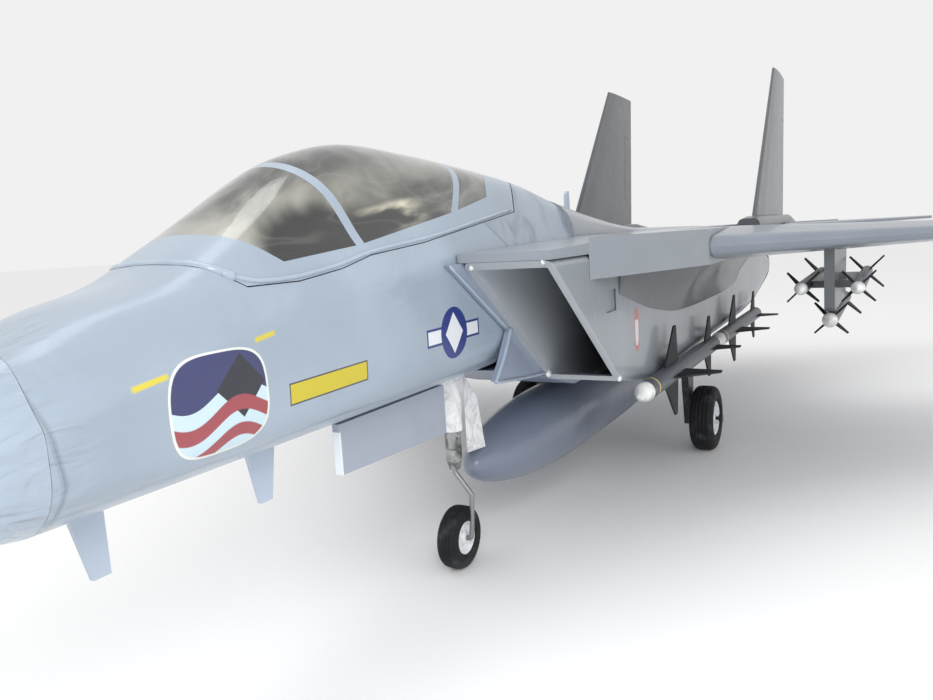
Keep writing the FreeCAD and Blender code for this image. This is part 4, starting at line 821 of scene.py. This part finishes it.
# %% Strut cover
low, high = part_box("nose_strut_cover")
axis = (low + high) / 2
radius = (high.x - low.x) / 2
draw = random.Random(7)
waves = [(draw.randint(2, 6), draw.uniform(0, math.tau), draw.uniform(20, 90), draw.uniform(0.25, 0.6))
         for _ in range(9)]
mesh = bmesh.new()
steps_up, steps_round = 34, 56
start = bmesh.ops.create_circle(mesh, segments=steps_round, radius=radius - 0.3 * MM)
bmesh.ops.translate(mesh, vec=(axis.x, axis.y, low.z), verts=start["verts"])
loop = list(mesh.edges)
for _ in range(steps_up):
    grown = bmesh.ops.extrude_edge_only(mesh, edges=loop)["geom"]
    raised = [part for part in grown if isinstance(part, bmesh.types.BMVert)]
    bmesh.ops.translate(mesh, vec=(0, 0, (high.z - low.z - 1.5 * MM) / steps_up), verts=raised)
    loop = [e for e in grown if isinstance(e, bmesh.types.BMEdge)]
for vert in mesh.verts:
    out = Vector((vert.co.x - axis.x, vert.co.y - axis.y, 0))
    share = (vert.co.z - low.z) / (high.z - low.z)
    turn = math.atan2(out.y, out.x)
    push = sum(size * math.sin(count * turn + phase + share * rate / 6) for count, phase, rate, size in waves)
    grow = 0.5 + 0.8 * share ** 3 * 2.2 + abs(push) * (0.35 + 0.55 * share)
    vert.co += out.normalized() * grow * MM
    vert.co.z += math.sin(turn * 3 + 1.0) * 1.2 * MM * share ** 6
bmesh.ops.recalc_face_normals(mesh, faces=mesh.faces)
bmesh.ops.solidify(mesh, geom=mesh.faces[:], thickness=0.5 * MM)
cover = piece(mesh, "strut_cover_paper", "airframe", FOAM)
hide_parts("nose_strut_cover")
print("strut cover made")

# %% [markdown]
# ## Beads, nubs and edges
#
# The last pieces are the marks of hand building: a rolled edge of film at the foot of each splitter,
# drops of glue at the intake's corners, and a bead and a thicker front lip on the canopy's frame where
# it meets the hull. The beads find the frame by casting rays at it, so they lie on its skin.

# %% Beads and glue
board = Board("glue_white", Coat_Weight=0.6)
board.set(Base_Color=board.mix(paint(206, 210, 212), paint(236, 238, 238), board.noise(200.0)), Roughness=0.3)
board.relief(board.noise(350.0) * 0.2)
GLUE = board.material

# The rolled edges take a lighter copy of the nose film: a painted highlight along the beads.
board, tone, height = film("edge_film", lit(FILM_PALE, 1.12), 1.2, gloss=0.22)
skin(board, tone, height)
EDGE = board.material


def bead(name, points, radius, material, body="airframe"):
    """A rolled edge along a line of points: a bevelled curve made into a mesh."""
    curve = bpy.data.curves.new(name, "CURVE")
    curve.dimensions = "3D"
    curve.bevel_depth = radius * MM
    curve.bevel_resolution = 4
    curve.use_fill_caps = True
    run = curve.splines.new("NURBS")
    run.points.add(len(points) - 1)
    for knot, place in zip(run.points, points):
        knot.co = (*place, 1.0)
    run.order_u = 3
    run.use_endpoint_u = True
    curve.resolution_u = 8
    rough = bpy.data.objects.new(name + "_curve", curve)
    scene.collection.objects.link(rough)
    bpy.context.view_layer.update()
    data = bpy.data.meshes.new_from_object(rough.evaluated_get(bpy.context.evaluated_depsgraph_get()))
    bpy.data.objects.remove(rough)
    mesh = bmesh.new()
    mesh.from_mesh(data)
    return piece(mesh, name, body, material)


def surface(node):
    """A lookup that finds where a line across the aircraft meets a CAD node from outside."""
    mesh = nodes[node].data
    corners = [vert.co for vert in mesh.vertices]
    return BVHTree.FromPolygons(corners, [list(face.vertices) for face in mesh.polygons])


frame_skin = surface("canopy_frame")
RADOME_JOINT = 175
SILL = ((72, 276), (84, 266), (98, 258), (111, 253), (127, 252.6), (143, 253), (160, 255), (177, 257),
        (206, 263), (262, 268), (302, 273), (342, 279), (372, 283), (398, 286.5))
for side, name in ((1, "port"), (-1, "starboard")):
    inward = Vector((-side, 0, 0))
    found = [frame_skin.ray_cast(at(side * 120, RADOME_JOINT + aft, level), inward)[0] for aft, level in SILL]
    line_on_skin = [place + Vector((side * 0.2 * MM, 0, 0)) for place in found if place]
    bead("canopy_sill_bead_" + name, line_on_skin, 1.25, EDGE, body="canopy_hatch")

LIP_RADIUS = 2.5
SEARCH_START, SEARCH_STEP, ABOVE_ALL = 228, 0.5, 400
down = Vector((0, 0, -1))
lip = []
for reach in range(-40, 41, 4):
    for step in range(140):
        hit = frame_skin.ray_cast(at(reach, SEARCH_START + step * SEARCH_STEP, ABOVE_ALL), down)[0]
        if hit:
            uneven = (draw.uniform(-0.25, 0.25), draw.uniform(-0.3, 0.3))
            lip.append(hit + Vector((0, LIP_RADIUS - 0.1 + uneven[0], -0.5 + uneven[1])) * MM)
            break
bead("canopy_front_lip", lip, LIP_RADIUS, EDGE, body="canopy_hatch")
print("canopy beads made; the lip has", len(lip), "points")

DROPS = ((57, 506, 243, 3.2), (60, 596, 152, 3.4), (118.6, 601, 149, 2.8), (113, 472, 249, 2.4),
         (60, 474, 247, 2.6), (119.4, 690, 214, 1.5), (119.4, 742, 216, 2.0))
draw = random.Random(3)
for side, name in ((1, "port"), (-1, "starboard")):
    heel = [at(side * 55.6, station, level) for station, level in
            ((538, 197), (532, 188), (523, 176), (512, 165), (508, 161.5))]
    bead("splitter_heel_" + name, heel, 1.5, EDGE)
    rake = [at(side * 54.8, station, level) for station, level in ((454, 249), (495, 223), (534, 197.5))]
    bead("splitter_edge_" + name, rake, 0.9, EDGE)
    foot = [at(side * 55.6, station, level) for station, level in
            ((509, 161), (550, 156), (600, 151.5), (622, 150.5))]
    bead("splitter_foot_" + name, foot, 1.1, EDGE)
    mesh = bmesh.new()
    for reach, station, level, size in DROPS:
        drop = bmesh.ops.create_icosphere(mesh, subdivisions=2, radius=1.0)["verts"]
        for vert in drop:
            vert.co *= 1 + draw.uniform(-0.12, 0.12)
        bmesh.ops.scale(mesh, vec=Vector((0.6, 1.0, 0.9)) * size * MM, verts=drop)
        bmesh.ops.translate(mesh, vec=at(side * reach, station, level), verts=drop)
    piece(mesh, "glue_drops_" + name, "airframe", GLUE)
print("beads and glue made")
